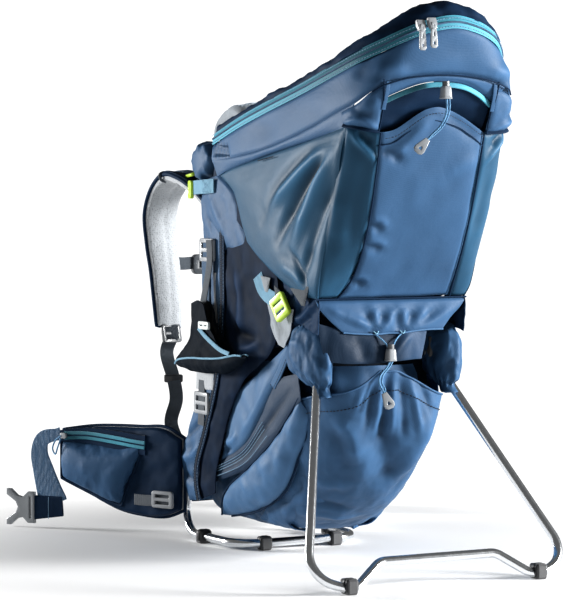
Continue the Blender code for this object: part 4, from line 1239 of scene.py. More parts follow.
def weld(obj, gap=0.00004):
    bm = bmesh.new()
    bm.from_mesh(obj.data)
    bmesh.ops.remove_doubles(bm, verts=bm.verts, dist=gap)
    bmesh.ops.holes_fill(bm, edges=bm.edges, sides=0)
    bmesh.ops.recalc_face_normals(bm, faces=bm.faces)
    bm.to_mesh(obj.data)
    bm.free()


# ---- padded pieces ------------------------------------------------------------------------
def puff(obj, cap=0.006, pressure=4.0, voxel=0.005, frames=18):
    """Blows a sewn shell up as cloth, keeps the swell within `cap`, and smooths the result."""
    scene = bpy.context.scene
    remesh = obj.modifiers.new("remesh", "REMESH")
    remesh.mode = "VOXEL"
    remesh.voxel_size = voxel
    bake(obj)
    start = np.array([v.co for v in obj.data.vertices])
    sim = obj.modifiers.new("cloth", "CLOTH")
    sim.settings.quality = 5
    sim.settings.mass = 0.2
    sim.settings.tension_stiffness = 12
    sim.settings.compression_stiffness = 12
    sim.settings.shear_stiffness = 4
    sim.settings.bending_stiffness = 0.25
    sim.settings.use_pressure = True
    sim.settings.uniform_pressure_force = pressure
    sim.settings.effector_weights.gravity = 0.0
    sim.point_cache.frame_start = 1
    sim.point_cache.frame_end = frames
    for step in range(1, frames + 1):
        scene.frame_set(step)
    bpy.context.view_layer.update()
    shaped = obj.evaluated_get(bpy.context.evaluated_depsgraph_get()).to_mesh()
    end = np.array([v.co for v in shaped.vertices])
    obj.modifiers.remove(sim)
    shift = end - start
    far = np.linalg.norm(shift, axis=1, keepdims=True)
    far = np.maximum(far, 1e-9)
    end = start + shift * np.minimum(far, cap) / far
    obj.data.vertices.foreach_set("co", end.astype(np.float32).ravel())
    scene.frame_set(1)
    smooth = obj.modifiers.new("smooth", "SUBSURF")
    smooth.levels = 1
    bake(obj)
    obj.data.shade_smooth()
    return obj


def bake(obj):
    """Replaces the mesh by what its modifiers make of it."""
    bpy.context.view_layer.update()
    mesh = bpy.data.meshes.new_from_object(obj.evaluated_get(bpy.context.evaluated_depsgraph_get()))
    look = obj.data.materials[0] if obj.data.materials else None
    obj.modifiers.clear()
    obj.data = mesh
    if look and not mesh.materials:
        mesh.materials.append(look)


def pad(name, grid, thick, look, body="root", out=None, height=None, fill=0.6, power=3.0, replaces=(),
        soft=None):
    """Closed cushion on a middle surface: thickest inside, thin at its sewn edge."""
    n = normals(grid, out)
    rows, cols = grid.shape[:2]
    v = np.abs(np.linspace(-1, 1, rows))[:, None]
    u = np.abs(np.linspace(-1, 1, cols))[None]
    swell = ((1 - v ** power) * (1 - u ** power)) ** (1 / power)
    bumps = np.zeros((rows, cols)) if height is None else height
    front = grid + n * (0.5 * thick * swell + bumps * np.minimum(1, 3 * swell) + 0.0006)[..., None]
    back = grid - n * (0.5 * thick * swell + 0.0006)[..., None]
    shadow = np.clip(PAD_SHADE_GAIN * (bumps - blur(bumps, 6)), -1, 1)
    obj = add_mesh(name, np.vstack([front.reshape(-1, 3), back.reshape(-1, 3)]), shell_faces(rows, cols),
                   np.concatenate([shadow.ravel(), shadow.ravel()]))
    settle(obj, look, body if soft is None else None, replaces)
    if soft is not None:
        puff(obj, **soft)
        if body:
            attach(obj, body)
    return obj


def pad_edge(grid, shrink=0):
    """Closed line round a grid's edge."""
    top, right = list(grid[shrink]), list(grid[:, -1 - shrink])
    return [tuple(p) for p in top + right + list(grid[-1 - shrink])[::-1] + list(grid[:, shrink])[::-1]]


def channels(grid, across, count, depth, width=0.10):
    """Sewn channels: grooves at even shares of the rows (0) or the columns (1)."""
    n = grid.shape[across]
    share = np.linspace(0, 1, n)
    cut = sum(np.exp(-((share - (i + 1) / (count + 1)) * (count + 1) / width) ** 2) for i in range(count))
    field = -depth * cut
    return np.repeat(field[:, None], grid.shape[1], axis=1) if across == 0 else np.repeat(field[None],
            grid.shape[0], axis=0)


# ---- top front: bumper and chin pad -------------------------------------------------------
def front_roll():
    """Padded roll across the front, pinched near both ends."""
    angle = np.linspace(0, 2 * np.pi, 60)
    lines = []
    for x in np.linspace(-0.117, 0.117, 60):
        edge = abs(x) / 0.117
        ry, rz = 0.034 * (1 - 0.22 * edge ** 8), 0.029 * (1 - 0.18 * edge ** 8)
        lines.append([(x, 0.095 + ry * math.cos(a), 0.543 - 0.20 * ry * math.cos(a) + rz * math.sin(a))
                      for a in angle])
    roll = loft(lines, 90, 90)
    n = roll - np.stack([roll[..., 0], np.full(roll.shape[:2], 0.095), np.full(roll.shape[:2], 0.543)],
                        axis=2)
    n /= np.linalg.norm(n, axis=2, keepdims=True)
    x = roll[..., 0]
    height = crumple(roll, 0.0032, 0.03, (1, 1, 1), 30.0) + crumple(roll, 0.0012, 0.012, (0.4, 1, 1), 31.0)
    height -= 0.004 * np.exp(-((np.abs(x) - 0.085) / 0.0035) ** 2)
    height += 0.0020 * np.sin(9 * np.arctan2(roll[..., 2] - 0.541, roll[..., 1] - 0.102)) \
        * np.exp(-((np.abs(x) - 0.108) / 0.014) ** 2)
    obj = add_mesh("front_roll", (roll + n * height[..., None]).reshape(-1, 3), quads(90, 90),
                   np.clip(180 * (height - blur(height, 6)), -1, 1))
    weld(obj)
    settle(obj, "slate", None, ("front_bumper",))
    puff(obj, cap=0.005, voxel=0.0045)
    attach(obj, "root")


def chin_cushion():
    profile = ((0.046, 0.560), (0.044, 0.590), (0.060, 0.610), (0.092, 0.611), (0.122, 0.596),
               (0.136, 0.572))
    grid = loft([[(-0.074, y, z - 0.012), (-0.062, y, z - 0.001), (0.0, y, z), (0.062, y, z - 0.001),
                  (0.074, y, z - 0.012)] for y, z in profile], 70, 60)
    height = folds(grid, [(mm((-60, 60, 605), (-52, 90, 610), (-58, 125, 595)), 0.006, -0.004),
                          (mm((-30, 50, 600), (0, 80, 612), (10, 125, 595)), 0.007, -0.003),
                          (mm((30, 60, 605), (50, 90, 610), (50, 125, 595)), 0.007, 0.003)])
    pad("chin_cushion", grid, 0.022, "fleece", out=(0, 0.4, 1),
        height=height + crumple(grid, 0.002, 0.03, seed=32.0), replaces=("chin_pad",),
        soft={"cap": 0.005, "voxel": 0.005})
    rope("chin_piping", pad_edge(grid), 0.0016, "grey_binding", closed=True)


def build_front_top():
    front_roll()
    chin_cushion()
    for name, side in SIDES:
        path = sided(side, (121.5, 36, 509), (124.5, 60, 508), (125, 88, 507), (124, 104, 505))
        ribbon("bumper_webbing_" + name, path, 0.020, 0.0018, (side, 0, 0), "webbing_pale")
        slab("bumper_buckle_" + name, rect(0.015, 0.024, 0.003), 0.005,
             facing((side * 0.1250, 0.103, 0.504), (side, 0.2, 0)), "lime",
             holes=(rect(0.003, 0.016, 0.001, (-0.0035, 0)), rect(0.003, 0.016, 0.001, (0.0025, 0))))
        stitches("bumper_box_" + name, sided(side, (126.2, 45, 516), (126.2, 62, 502), (126.2, 45, 502),
                                             (126.2, 62, 516)), (side, 0, 0), "thread_pale")


# ---- wearer's side ------------------------------------------------------------------------
def wall(x_points, z_values, lift=0.0):
    return [[(x, upright_y(z) + lift, z) for x in x_points] for z in z_values]


def build_back():
    heights = (0.500, 0.42, 0.34, 0.27, 0.22, 0.16, 0.10, 0.055)
    shell = loft(wall((-0.108, -0.05, 0.05, 0.108), heights, -0.001), 60, 90)
    cloth("back_shell", shell, "slate", crumple(shell, 0.002, 0.05, seed=33.0), out=(0, 1, 0), thick=0.002,
          replaces=("back_panel",))
    for name, side in SIDES:
        column = loft([[(side * 0.020, upright_y(z) + 0.006, z), (side * 0.050, upright_y(z) + 0.007, z),
                        (side * 0.082, upright_y(z) + 0.006, z)]
                       for z in (0.362, 0.31, 0.265, 0.225, 0.19)], 40, 120)
        pad("back_mesh_" + name, column, 0.012, "mesh", out=(0, 1, 0),
            height=channels(column, 0, 5, 0.0035, 0.12), fill=0.6)
        rope("back_mesh_binding_" + name, pad_edge(column), 0.0022, "navy", closed=True)
    spine = loft([[(-0.017, upright_y(z) + 0.003, z), (0.0, upright_y(z) + 0.004, z),
                   (0.017, upright_y(z) + 0.003, z)] for z in (0.46, 0.36, 0.28, 0.22)], 16, 80)
    cloth("back_spine", spine, "navy", channels(spine, 0, 8, 0.0012, 0.2), out=(0, 1, 0))
    lumbar = loft([[(-0.095 * w, upright_y(z) + 0.018, z), (-0.05 * w, upright_y(z) + 0.021, z),
                    (0.0, upright_y(z) + 0.018, z), (0.05 * w, upright_y(z) + 0.021, z),
                    (0.095 * w, upright_y(z) + 0.018, z)] for z, w in ((0.198, 0.78), (0.175, 0.95),
                    (0.13, 1.0), (0.085, 1.0), (0.052, 0.86))], 120, 70)
    groove = folds(lumbar, [(mm((0, 170, 195), (0, 185, 130), (0, 200, 55)), 0.008, -0.008)])
    pad("lumbar_cushion", lumbar, 0.028, "mesh", out=(0, 1, 0),
        height=groove + channels(lumbar, 1, 4, 0.002, 0.1), replaces=("lumbar_pad",))
    rope("lumbar_binding", pad_edge(lumbar), 0.0024, "navy", closed=True)


def build_cockpit():
    """Inside of the pack: seat, seat back and lining."""
    grid = coons(mm((-62, 18, 344), (0, 22, 345), (62, 18, 344)),
                 mm((-66, -165, 348), (0, -170, 350), (66, -165, 348)),
                 mm((-62, 18, 344), (-50, -70, 344), (-66, -165, 348)),
                 mm((62, 18, 344), (50, -70, 344), (66, -165, 348)), 50, 70)
    height = channels(grid, 0, 3, 0.003, 0.12)
    pad("seat_cushion", grid, 0.022, "fleece", body="seat", out=(0, 0, 1), height=height,
        replaces=("child_seat",), soft={"cap": 0.004, "voxel": 0.005})
    back = loft([[(-0.075, y, z), (0.0, y - 0.006, z), (0.075, y, z)] for y,
                 z in ((-0.272, 0.585), (-0.255, 0.53), (-0.236, 0.478), (-0.216, 0.42), (-0.200, 0.372))],
                50, 70)
    pad("seat_back_cushion", back, 0.020, "fleece", out=(0, 1, 0.3),
        height=channels(back, 1, 2, 0.003, 0.12), replaces=("seat_back",))
    rope("seat_back_binding", pad_edge(back), 0.0018, "navy", closed=True)
    for name, side in SIDES:
        lining = coons(sided(side, (108, 55, 565), (108, -120, 620), (100, -300, 660)),
                       sided(side, (108, 70, 420), (108, -60, 360), (100, -200, 355)),
                       sided(side, (108, 55, 565), (108, 64, 490), (108, 70, 420)),
                       sided(side, (100, -300, 660), (102, -270, 500), (100, -200, 355)), 50, 40)
        cloth("cockpit_lining_" + name, lining, "navy", crumple(lining, 0.003, 0.05, seed=34.0),
              out=(-side, 0, 0))
        strap = sided(side, (50, -262, 590), (52, -235, 560), (46, -205, 510), (32, -178, 462),
                      (20, -156, 448), (8, -142, 434))
        ribbon("child_harness_" + name, strap, 0.030, 0.006, (0, 1, 0.5), "fleece", power=3.0)
    slab("child_buckle", rect(0.034, 0.042, 0.010), 0.009, facing((0, -0.140, 0.424), (0, 1, 0.6)),
         "black_plastic", body="root")
    front, back = mm((-100, -200, 302), (100, -200, 302)), mm((-104, 60, 280), (104, 60, 280))
    floor = coons(back, front, (back[0], front[0]), (back[1], front[1]), 30, 30)
    cloth("cockpit_floor", floor, "navy", crumple(floor, 0.003, 0.05, seed=35.0), out=(0, 0, 1))


# ---- column beside the wearer's back ------------------------------------------------------
def column_lines(side):
    """Rear edge, zip and front edge of the column, from top to bottom."""
    at = outline(side)
    left = at(113.5, (90, 500), (89, 405), (92, 330), (94, 250), (122, 185), (152, 140),
              (160, 98), (135, 59))
    middle = at(115.5, (18, 500), (16, 413), (17, 330), (30, 254), (68, 170), (96, 120),
                (100, 90), (92, 65))
    right = at(113, (-50, 500), (-130, 412), (-133, 300), (-45, 245), (4, 195), (34, 135),
               (50, 100), (53, 78))
    return [curve_through(line, 90) for line in (left, middle, right)]


def column_sleeve(name, side):
    """Rear half of the column, wrinkled at its foot."""
    at = outline(side)
    out = (side, 0, 0)
    lines = column_lines(side)
    back = loft([curve_through(lines[0], 90), lines[1]], 90, 26).transpose(1, 0, 2)
    height = crown(back, 0.004, 0.5) + tuck(back, "lr", 0.0018) + crumple(back, 0.0022, 0.03, (1, 1, 0.7),
            36.0)
    height += folds(back, [(at(115, (150, 150), (115, 160), (80, 180)), 0.006, -0.004),
                           (at(115, (155, 120), (120, 125), (90, 140)), 0.006, 0.004),
                           (at(115, (150, 100), (120, 92), (96, 105)), 0.005, -0.004),
                           (at(115, (95, 280), (70, 262), (40, 262)), 0.006, 0.003)])
    cloth("column_strap_side_" + name, back, "slate", height, out=out, replaces=("side_sleeve_" + name,))


def column_panel(name, side):
    """Shiny front half of the column."""
    at = outline(side)
    out = (side, 0, 0)
    lines = column_lines(side)
    inner = loft([lines[1], lines[2]], 90, 40).transpose(1, 0, 2)
    height = crown(inner, 0.003, 0.6) + tuck(inner, "l", 0.0015)
    height += folds(inner, [(at(114, (-20, 405), (-40, 350), (-30, 300)), 0.010, 0.005),
                            (at(114, (-5, 330), (-30, 310), (-80, 300)), 0.007, -0.005),
                            (at(114, (0, 300), (-40, 285), (-100, 300)), 0.006, 0.004)])
    cloth("column_panel_" + name, inner, "gloss_navy",
          height + crumple(inner, 0.0020, 0.03, (1, 1, 1), 37.0), out=out)


def column_zip(name, side):
    out = (side, 0, 0)
    lines = column_lines(side)
    zip_line = [tuple(p) for p in lines[1][10:]]
    outward = moved(zip_line, side * 0.0032)
    ribbon("column_zip_tape_" + name, outward, 0.015, 0.0016, out, "navy")
    zip_coil("column_zip_" + name, moved(zip_line, side * 0.0046), out)
    for i, shift in enumerate((-0.006, 0.006)):
        stitches(f"column_stitch_{name}_{i}", moved(zip_line, side * 0.0042, shift), out, "thread_pale",
                 pitch=0.0048)


def column_straps(name, side):
    """Webbing, mesh and ladder locks on the column."""
    at = outline(side)
    out = (side, 0, 0)
    strap = at(119.5, (66, 430), (66, 400), (66, 350), (66.5, 300))
    ribbon("column_strap_" + name, strap, 0.022, 0.0022, out, "webbing_blue",
           lift=lambda t, a, b: 0.0006 * np.sin(9 * t))
    mesh_strip = at(117.2, (40, 388), (39, 355), (36, 318))
    ribbon("column_mesh_" + name, mesh_strip, 0.008, 0.004, out, "mesh", power=2.4)
    loft_patch = coons(at(119.2, (96, 250), (40, 252)), at(119.2, (98, 222), (42, 224)),
                       at(119.2, (96, 250), (98, 222)), at(119.2, (40, 252), (42, 224)), 24, 16)
    pad("column_patch_" + name, loft_patch, 0.003, "mesh", out=out)
    for tag, place, size in (("upper", (0.059, 0.4195), (0.042, 0.030)),
                             ("lower", (0.078, 0.2035), (0.042, 0.029))):
        ladder_lock(f"column_lock_{tag}_{name}", (side * 0.1205, *place), (side, 0, 0), size)
    ribbon("column_lower_strap_" + name, at(120.5, (77, 236), (78, 204), (80, 172)), 0.020, 0.0018, out,
           "webbing")


def build_columns():
    for name, side in SIDES:
        column_sleeve(name, side)
        column_panel(name, side)
        column_zip(name, side)
        column_straps(name, side)


def zip_coil(name, line, out, pitch=0.0026):
    """Zip teeth: a row of small moulded bars either side of the centre line."""
    stitches(name + "_teeth", line, out, "black_plastic", pitch=pitch, length=0.0013, lift=0.0003,
             radius=0.0011)


def ladder_lock(name, place, out, size, look="silver", up=(0, 0, 1), body="root", slots=2):
    """Webbing adjuster: a frame with slots between its bars."""
    w, h = size
    bar = 0.13 * h
    gap = (h - (slots + 1) * bar) / slots
    holes = [rect(w * 0.76, gap, 0.0015, (0, -0.5 * h + bar + gap / 2 + i * (gap + bar)))
             for i in range(slots)]
    return slab(name, rect(w, h, 0.003), 0.0046, facing(place, out, up), look, body=body, holes=holes,
                edge=0.0012)


# ---- stirrups and leg locks ---------------------------------------------------------------
STIRRUP_X = 136.5
STIRRUP_ROWS = ((128, 257, 255.5, 2), (105, 264, 252, 8), (60, 269, 249.5, 11.5), (10, 271, 250, 12.5),
                (-35, 274, 253, 11.5), (-75, 280, 265, 8), (-96, 279, 276.5, 2))


def stirrup_cup(name, side):
    """Boat-shaped foot cup with its two rims."""
    body = "stirrup_" + name
    rings = []
    x = STIRRUP_X
    for y, top, low, half in STIRRUP_ROWS:
        knee = 0.6 * low + 0.4 * top
        rings.append(mm((side * (x - half), y, top), (side * (x - 0.8 * half), y, knee), (side * x, y, low),
                        (side * (x + 0.8 * half), y, knee), (side * (x + half), y, top)))
    boat = loft(rings, 40, 80)
    cloth("stirrup_cup_" + name, boat, "dark", crumple(boat, 0.0012, 0.02, seed=38.0), thick=0.0022,
          body=body, out=(0, 0, -1), replaces=("stirrup_" + name,))
    for i, column in enumerate((0, -1)):
        rope(f"stirrup_rim_{name}_{i}", [tuple(p) for p in boat[::4, column]], 0.0015, "webbing_pale",
             body=body)


def stirrup_pouch(name, side):
    """Two flaps that hold the cup."""
    body = "stirrup_" + name
    at = outline(side)
    for i, half in enumerate((-6, 7)):
        flap = coons(at(STIRRUP_X + half * 0.3, (66, 345), (44, 350), (26, 345)),
                     at(STIRRUP_X + half * 1.6, (118, 262), (40, 268), (-40, 274)),
                     at(STIRRUP_X + half * 0.9, (66, 345), (70, 300), (118, 262)),
                     at(STIRRUP_X + half * 0.9, (26, 345), (4, 312), (-40, 274)), 40, 40)
        height = folds(flap, [(at(STIRRUP_X, (40, 335), (30, 300), (0, 280)), 0.006,
                               0.0035 * (1 if i else -1)), (at(STIRRUP_X, (55, 330), (60, 300), (85, 272)),
                                                            0.006, -0.003)])
        cloth(f"stirrup_pouch_{name}_{i}", flap, "dark",
              height + crumple(flap, 0.0016, 0.02, seed=39.0 + i), thick=0.0016, body=body,
              out=(side, 0, 0))


def stirrup_straps(name, side):
    body = "stirrup_" + name
    at = outline(side)
    strap = at(123.8, (47, 434), (45.5, 400), (45, 346, 134))
    ribbon("stirrup_strap_" + name, strap, 0.018, 0.0018, (side, 0, 0), "webbing", body=body)
    ribbon("stirrup_ribbon_" + name, at(146, (35, 312), (10, 300), (-30, 286), (-60, 281)), 0.006,
           0.0014, (side, 0, 0.3), "webbing_pale", body=body)
    slab("stirrup_toggle_" + name, rect(0.030, 0.0095, 0.002), 0.004,
         facing((side * 0.1480, 0.013, 0.3165), (side, 0, 0)), "white_plastic", body=body,
         holes=(rect(0.010, 0.003, 0.001, (-0.006, 0)), rect(0.010, 0.003, 0.001, (0.007, 0))))


def build_stirrups():
    for name, side in SIDES:
        stirrup_cup(name, side)
        stirrup_pouch(name, side)
        stirrup_straps(name, side)


LEG_LOCK_LEAN = math.radians(35)


def leg_buckle(name, side):
    """Lime lock with its two runs of webbing."""
    body = "leg_lock_" + name
    out = (side, -0.25, 0.05)
    up = (0.0, math.sin(LEG_LOCK_LEAN), math.cos(LEG_LOCK_LEAN))
    slab("leg_buckle_" + name, rect(0.026, 0.031, 0.003), 0.006,
         facing((side * 0.1245, -0.1700, 0.3490), out, up), "lime", body=body, edge=0.0015,
         replaces=("leg_lock_" + name,), holes=(rect(0.019, 0.005, 0.001, (0, 0.0065)),
                                                rect(0.019, 0.005, 0.001, (0, -0.0065))))
    across = Vector(up).cross(Vector(out)).normalized()
    for i, rise in enumerate((0.0065, -0.0065)):
        mid = Vector((side * 0.1250, -0.1700, 0.3490)) + Vector(up) * rise
        ribbon(f"leg_buckle_web_{name}_{i}", [tuple(mid - across * 0.0095), tuple(mid),
                                              tuple(mid + across * 0.0095)], 0.0052, 0.0030, out,
               "webbing_blue", body=body)


def leg_tabs(name, side):
    """Webbing and its sewn tabs beside the lock."""
    at = outline(side)
    loop = at(118.2, (-92, 388), (-104, 372), (-122, 362), (-145, 356.5), (-160, 352.5))
    ribbon("leg_webbing_" + name, loop, 0.020, 0.0016, (side, -0.2, 0.1), "webbing_pale")
    for i, tri in enumerate((((-100, 388), (-128, 386), (-118, 366)),
                             ((-140, 376), (-178, 362), (-150, 350)),
                             ((-186, 374), (-238, 378), (-222, 352)))):
        (y0, z0), (y1, z1), (y2, z2) = tri
        patch = coons(at(118.2, (y0, z0), (y1, z1)), at(118.2, (y2 + 4, z2), (y2 - 4, z2)),
                      at(118.2, (y0, z0), (y2 + 4, z2)), at(118.2, (y1, z1), (y2 - 4, z2)), 14, 14)
        cloth(f"leg_tab_{name}_{i}", patch, "webbing" if i else "grey_binding", crown(patch, 0.002),
              out=(side, 0, 0))


def leg_lining(name, side):
    at = outline(side)
    flag = coons(at(117.5, (-118, 352), (-190, 346)), at(115, (-146, 298), (-164, 294)),
                 at(116, (-118, 352), (-128, 322), (-146, 298)),
                 at(116, (-190, 346), (-182, 318), (-164, 294)), 24, 30)
    height = folds(flag, [(at(116, (-130, 345), (-145, 320), (-155, 300)), 0.006, 0.003)])
    cloth("leg_lining_" + name, flag, "fleece", height + crumple(flag, 0.0015, 0.02, seed=40.0),
          out=(side, 0, 0))


def build_leg_locks():
    for name, side in SIDES:
        leg_buckle(name, side)
        leg_tabs(name, side)
        leg_lining(name, side)


# ---- shoulder harness ---------------------------------------------------------------------
STRAP = mm((50, 104, 424), (52, 117, 444), (56, 134, 470), (61, 170, 496), (66, 214, 516.5), (70, 256, 522),
           (73, 292, 503), (76, 311, 468), (77, 304, 425), (79, 288, 385), (81, 276, 345), (82, 266, 302))


def strap_frame(side):
    """Shoulder strap's middle line, with the way across it and the way towards the wearer at each point."""
    line = curve_through([(side * x, y, z) for x, y, z in STRAP], 110)
    ahead = np.gradient(line, axis=0)
    ahead /= np.linalg.norm(ahead, axis=1, keepdims=True)
    inner = -side * np.cross(np.array((side * 0.94, -0.30, 0.0)), ahead)
    inner /= np.linalg.norm(inner, axis=1, keepdims=True)
    return line, np.cross(ahead, inner), inner


def strap_pads(name, side):
    """Mesh lining, outer shell and binding of a shoulder strap."""
    line, across, inner = strap_frame(side)
    share = np.linspace(0, 1, 110)
    half = 0.5 * np.interp(share, (0, 0.35, 0.62, 1), (0.052, 0.066, 0.058, 0.046))
    span = np.linspace(-1, 1, 34)
    grid = line[:, None] + across[:, None] * (half[:, None] * span)[..., None] \
        + inner[:, None] * (-0.004 * span[None] ** 2)[..., None]
    facing_mid = inner[60]
    lumps = crumple(grid, 0.0012, 0.02, seed=41.0)
    pad("strap_mesh_" + name, grid + inner[:, None] * 0.0035, 0.013, "mesh", body="harness", out=facing_mid,
        height=lumps - 0.0016 * np.exp(-(span / 0.2) ** 2)[None], replaces=("shoulder_strap_" + name,))
    shell = grid - inner[:, None] * 0.0035
    pad("strap_shell_" + name, shell, 0.006, "navy", body="harness", out=-facing_mid)
    rope("strap_binding_" + name, pad_edge(grid), 0.0031, "navy", body="harness", closed=True)


def strap_trim(name, side):
    """Webbing rail and loop on the shell."""
    line, across, inner = strap_frame(side)
    shell_line = line[22:84] - inner[22:84] * 0.0095
    ribbon("strap_rail_" + name, [tuple(p) for p in shell_line[::4]], 0.020, 0.0016,
           [tuple(v) for v in -inner[22:84:4]], "webbing_blue", body="harness")
    rope("strap_loop_" + name, [tuple(line[46] + across[46] * s * 0.030 * -side + inner[46] * t) for s,
                                t in ((0.9, 0.006), (1.15, 0.003), (1.2, -0.005), (0.95, -0.008))], 0.0022,
         "webbing", body="harness")


def strap_webbing(name, side):
    """Adjuster and the webbing that runs down to the frame."""
    line, across, inner = strap_frame(side)
    end = line[-1]
    lock = end + np.array((0, -0.004, -0.010))
    ladder_lock("strap_adjuster_" + name, tuple(lock), tuple(inner[-1]), (0.034, 0.026), "dark_plastic",
                body="harness")
    tail = [tuple(end + np.array((0, -0.003, 0.002))), tuple(end + np.array((0.0, -0.006, -0.014))),
            (side * 0.083, 0.276, 0.262), (side * 0.086, 0.246, 0.226), (side * 0.088, 0.232, 0.196),
            (side * 0.088, 0.250, 0.160), (side * 0.086, 0.222, 0.125), (side * 0.088, 0.200, 0.100)]
    webs = ribbon("strap_webbing_" + name, tail, 0.020, 0.0016, (-0.30, -0.95, 0.1), "webbing", body=None)
    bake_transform(webs)
    keeper = tail[3]
    slab("strap_keeper_" + name, rect(0.026, 0.010, 0.002), 0.006, facing(keeper, (-0.3, -0.95, 0)),
         "black_plastic", body="harness")


def load_lifter(name, side):
    line, across, inner = strap_frame(side)
    lifter = [tuple(line[36] - inner[36] * 0.009), (side * 0.078, 0.170, 0.528),
              (side * 0.090, 0.118, 0.520)]
    ribbon("load_lifter_" + name, lifter, 0.018, 0.0016, (side * 0.4, 0.2, 1), "webbing", body="harness")
    ladder_lock("lifter_lock_" + name, (side * 0.075, 0.186, 0.5285), (side * 0.3, 0.1, 1), (0.028, 0.022),
                "lime", body="harness", up=(0, -1, 0))


def sternum_web(name, side):
    line, across, inner = strap_frame(side)
    chest = line[74]
    ribbon("sternum_web_" + name, [tuple(chest - inner[74] * 0.0125), (side * 0.055, 0.312, 0.397),
                                   (side * 0.018, 0.312, 0.394)], 0.019, 0.0016, (0, 1, 0.0), "webbing",
           body="sternum")


def build_harness():
    yoke = loft([[(-0.075, 0.1005, z), (0.0, 0.1020, z), (0.075, 0.1005, z)]
                 for z in (0.472, 0.44, 0.40, 0.368)], 60, 50)
    pad("yoke_pad", yoke, 0.012, "mesh", body="harness", out=(0, 1, 0),
        height=channels(yoke, 1, 2, 0.003, 0.12), replaces=("shoulder_yoke",))
    rope("yoke_binding", pad_edge(yoke), 0.0022, "navy", body="harness", closed=True)
    for name, side in SIDES:
        strap_pads(name, side)
        strap_trim(name, side)
        strap_webbing(name, side)
        load_lifter(name, side)
        sternum_web(name, side)
    slab("sternum_clip", rect(0.044, 0.026, 0.005), 0.010, facing((0, 0.312, 0.392), (0, 1, 0)),
         "dark_plastic", body="sternum", edge=0.002, holes=(rect(0.006, 0.012, 0.0015, (-0.012, 0)),
                                                            rect(0.006, 0.012, 0.0015, (0.012, 0))),
         replaces=("sternum_buckle",))


# ---- hip belt -----------------------------------------------------------------------------
FIN_LINE = ((0.1125, 0.150), (0.128, 0.182), (0.146, 0.222), (0.166, 0.262), (0.190, 0.302), (0.222, 0.340))
FIN_ROWS = ((0.095, 0.104), (0.096, 0.130), (0.095, 0.129), (0.0975, 0.122), (0.105, 0.102), (0.1120, 0.074))


def fin_surface(side, lift=0.0, low=-0.5, high=0.5, first=0.0, last=1.0, rows=40, cols=110, slant=0.0):
    """Part of the hip fin's middle surface, moved out by `lift`; slant starts the low rows later."""
    line = curve_through([(x, y, z, h) for (x, y), (z, h) in zip(FIN_LINE, FIN_ROWS)], 200)
    down = np.linspace(0, 1, rows)[:, None]
    begin = first + slant * down
    at = (begin + (last - begin) * np.linspace(0, 1, cols)[None]) * 199
    dx, dy = np.gradient(line[:, 0]), np.gradient(line[:, 1])
    size = np.hypot(dx, dy)
    x, y, z, h, nx, ny = (np.interp(at, np.arange(200), values)
                          for values in (*line.T, dy / size, -dx / size))
    return np.stack([side * (x + nx * lift), y + ny * lift, z + h * (high + (low - high) * down)], axis=2)


def fin_pads(name, side):
    """Mesh lining, shell and binding of a hip fin."""
    body = "fin_" + name
    out = (side, -0.5, 0)
    mid = fin_surface(side)
    pad("fin_pad_" + name, mid, 0.014, "mesh", body=body, out=(-side, 0.5, 0),
        height=channels(mid, 0, 2, 0.003, 0.10), replaces=("hip_fin_" + name,))
    shell = fin_surface(side, 0.009, -0.49, 0.49)
    height = crumple(shell, 0.0016, 0.03, seed=42.0)
    pad("fin_shell_" + name, shell, 0.014, "navy", body=body, out=out, height=height, power=6.0)
    rope("fin_binding_" + name, pad_edge(mid), 0.0026, "navy", body=body, closed=True)


def fin_pocket(name, side):
    body = "fin_" + name
    out = (side, -0.5, 0)
    pocket = fin_surface(side, 0.0165, -0.42, 0.30, 0.30, 0.98, slant=0.18)
    height = crown(pocket, 0.010, 0.5) + 0.35 * folds(pocket,
                                                      [([tuple(p) for p in pocket[30, 8:60:10]], 0.009,
                                                        -0.004),
                                                       ([tuple(p) for p in pocket[20, 5:50:9]], 0.008,
                                                        0.003), ([tuple(p) for p in pocket[14, 50:100:10]],
                    0.007, -0.003), ([tuple(p) for p in pocket[33, 50:100:10]], 0.008, 0.003),
                                                       ([tuple(pocket[6, 30]), tuple(pocket[18, 36]),
                                                         tuple(pocket[32, 34])], 0.008, -0.003),
                                                       ([tuple(pocket[8, 70]), tuple(pocket[20, 64]),
                                                         tuple(pocket[30, 70])], 0.008, 0.003)])
    pad("fin_pocket_" + name, pocket, 0.012, "slate", body=body, out=out,
        height=height + crumple(pocket, 0.002, 0.03, seed=43.0), soft={"cap": 0.006, "voxel": 0.0045})
    rope("fin_pocket_piping_" + name, pad_edge(pocket), 0.0018, "navy", body=body, closed=True)


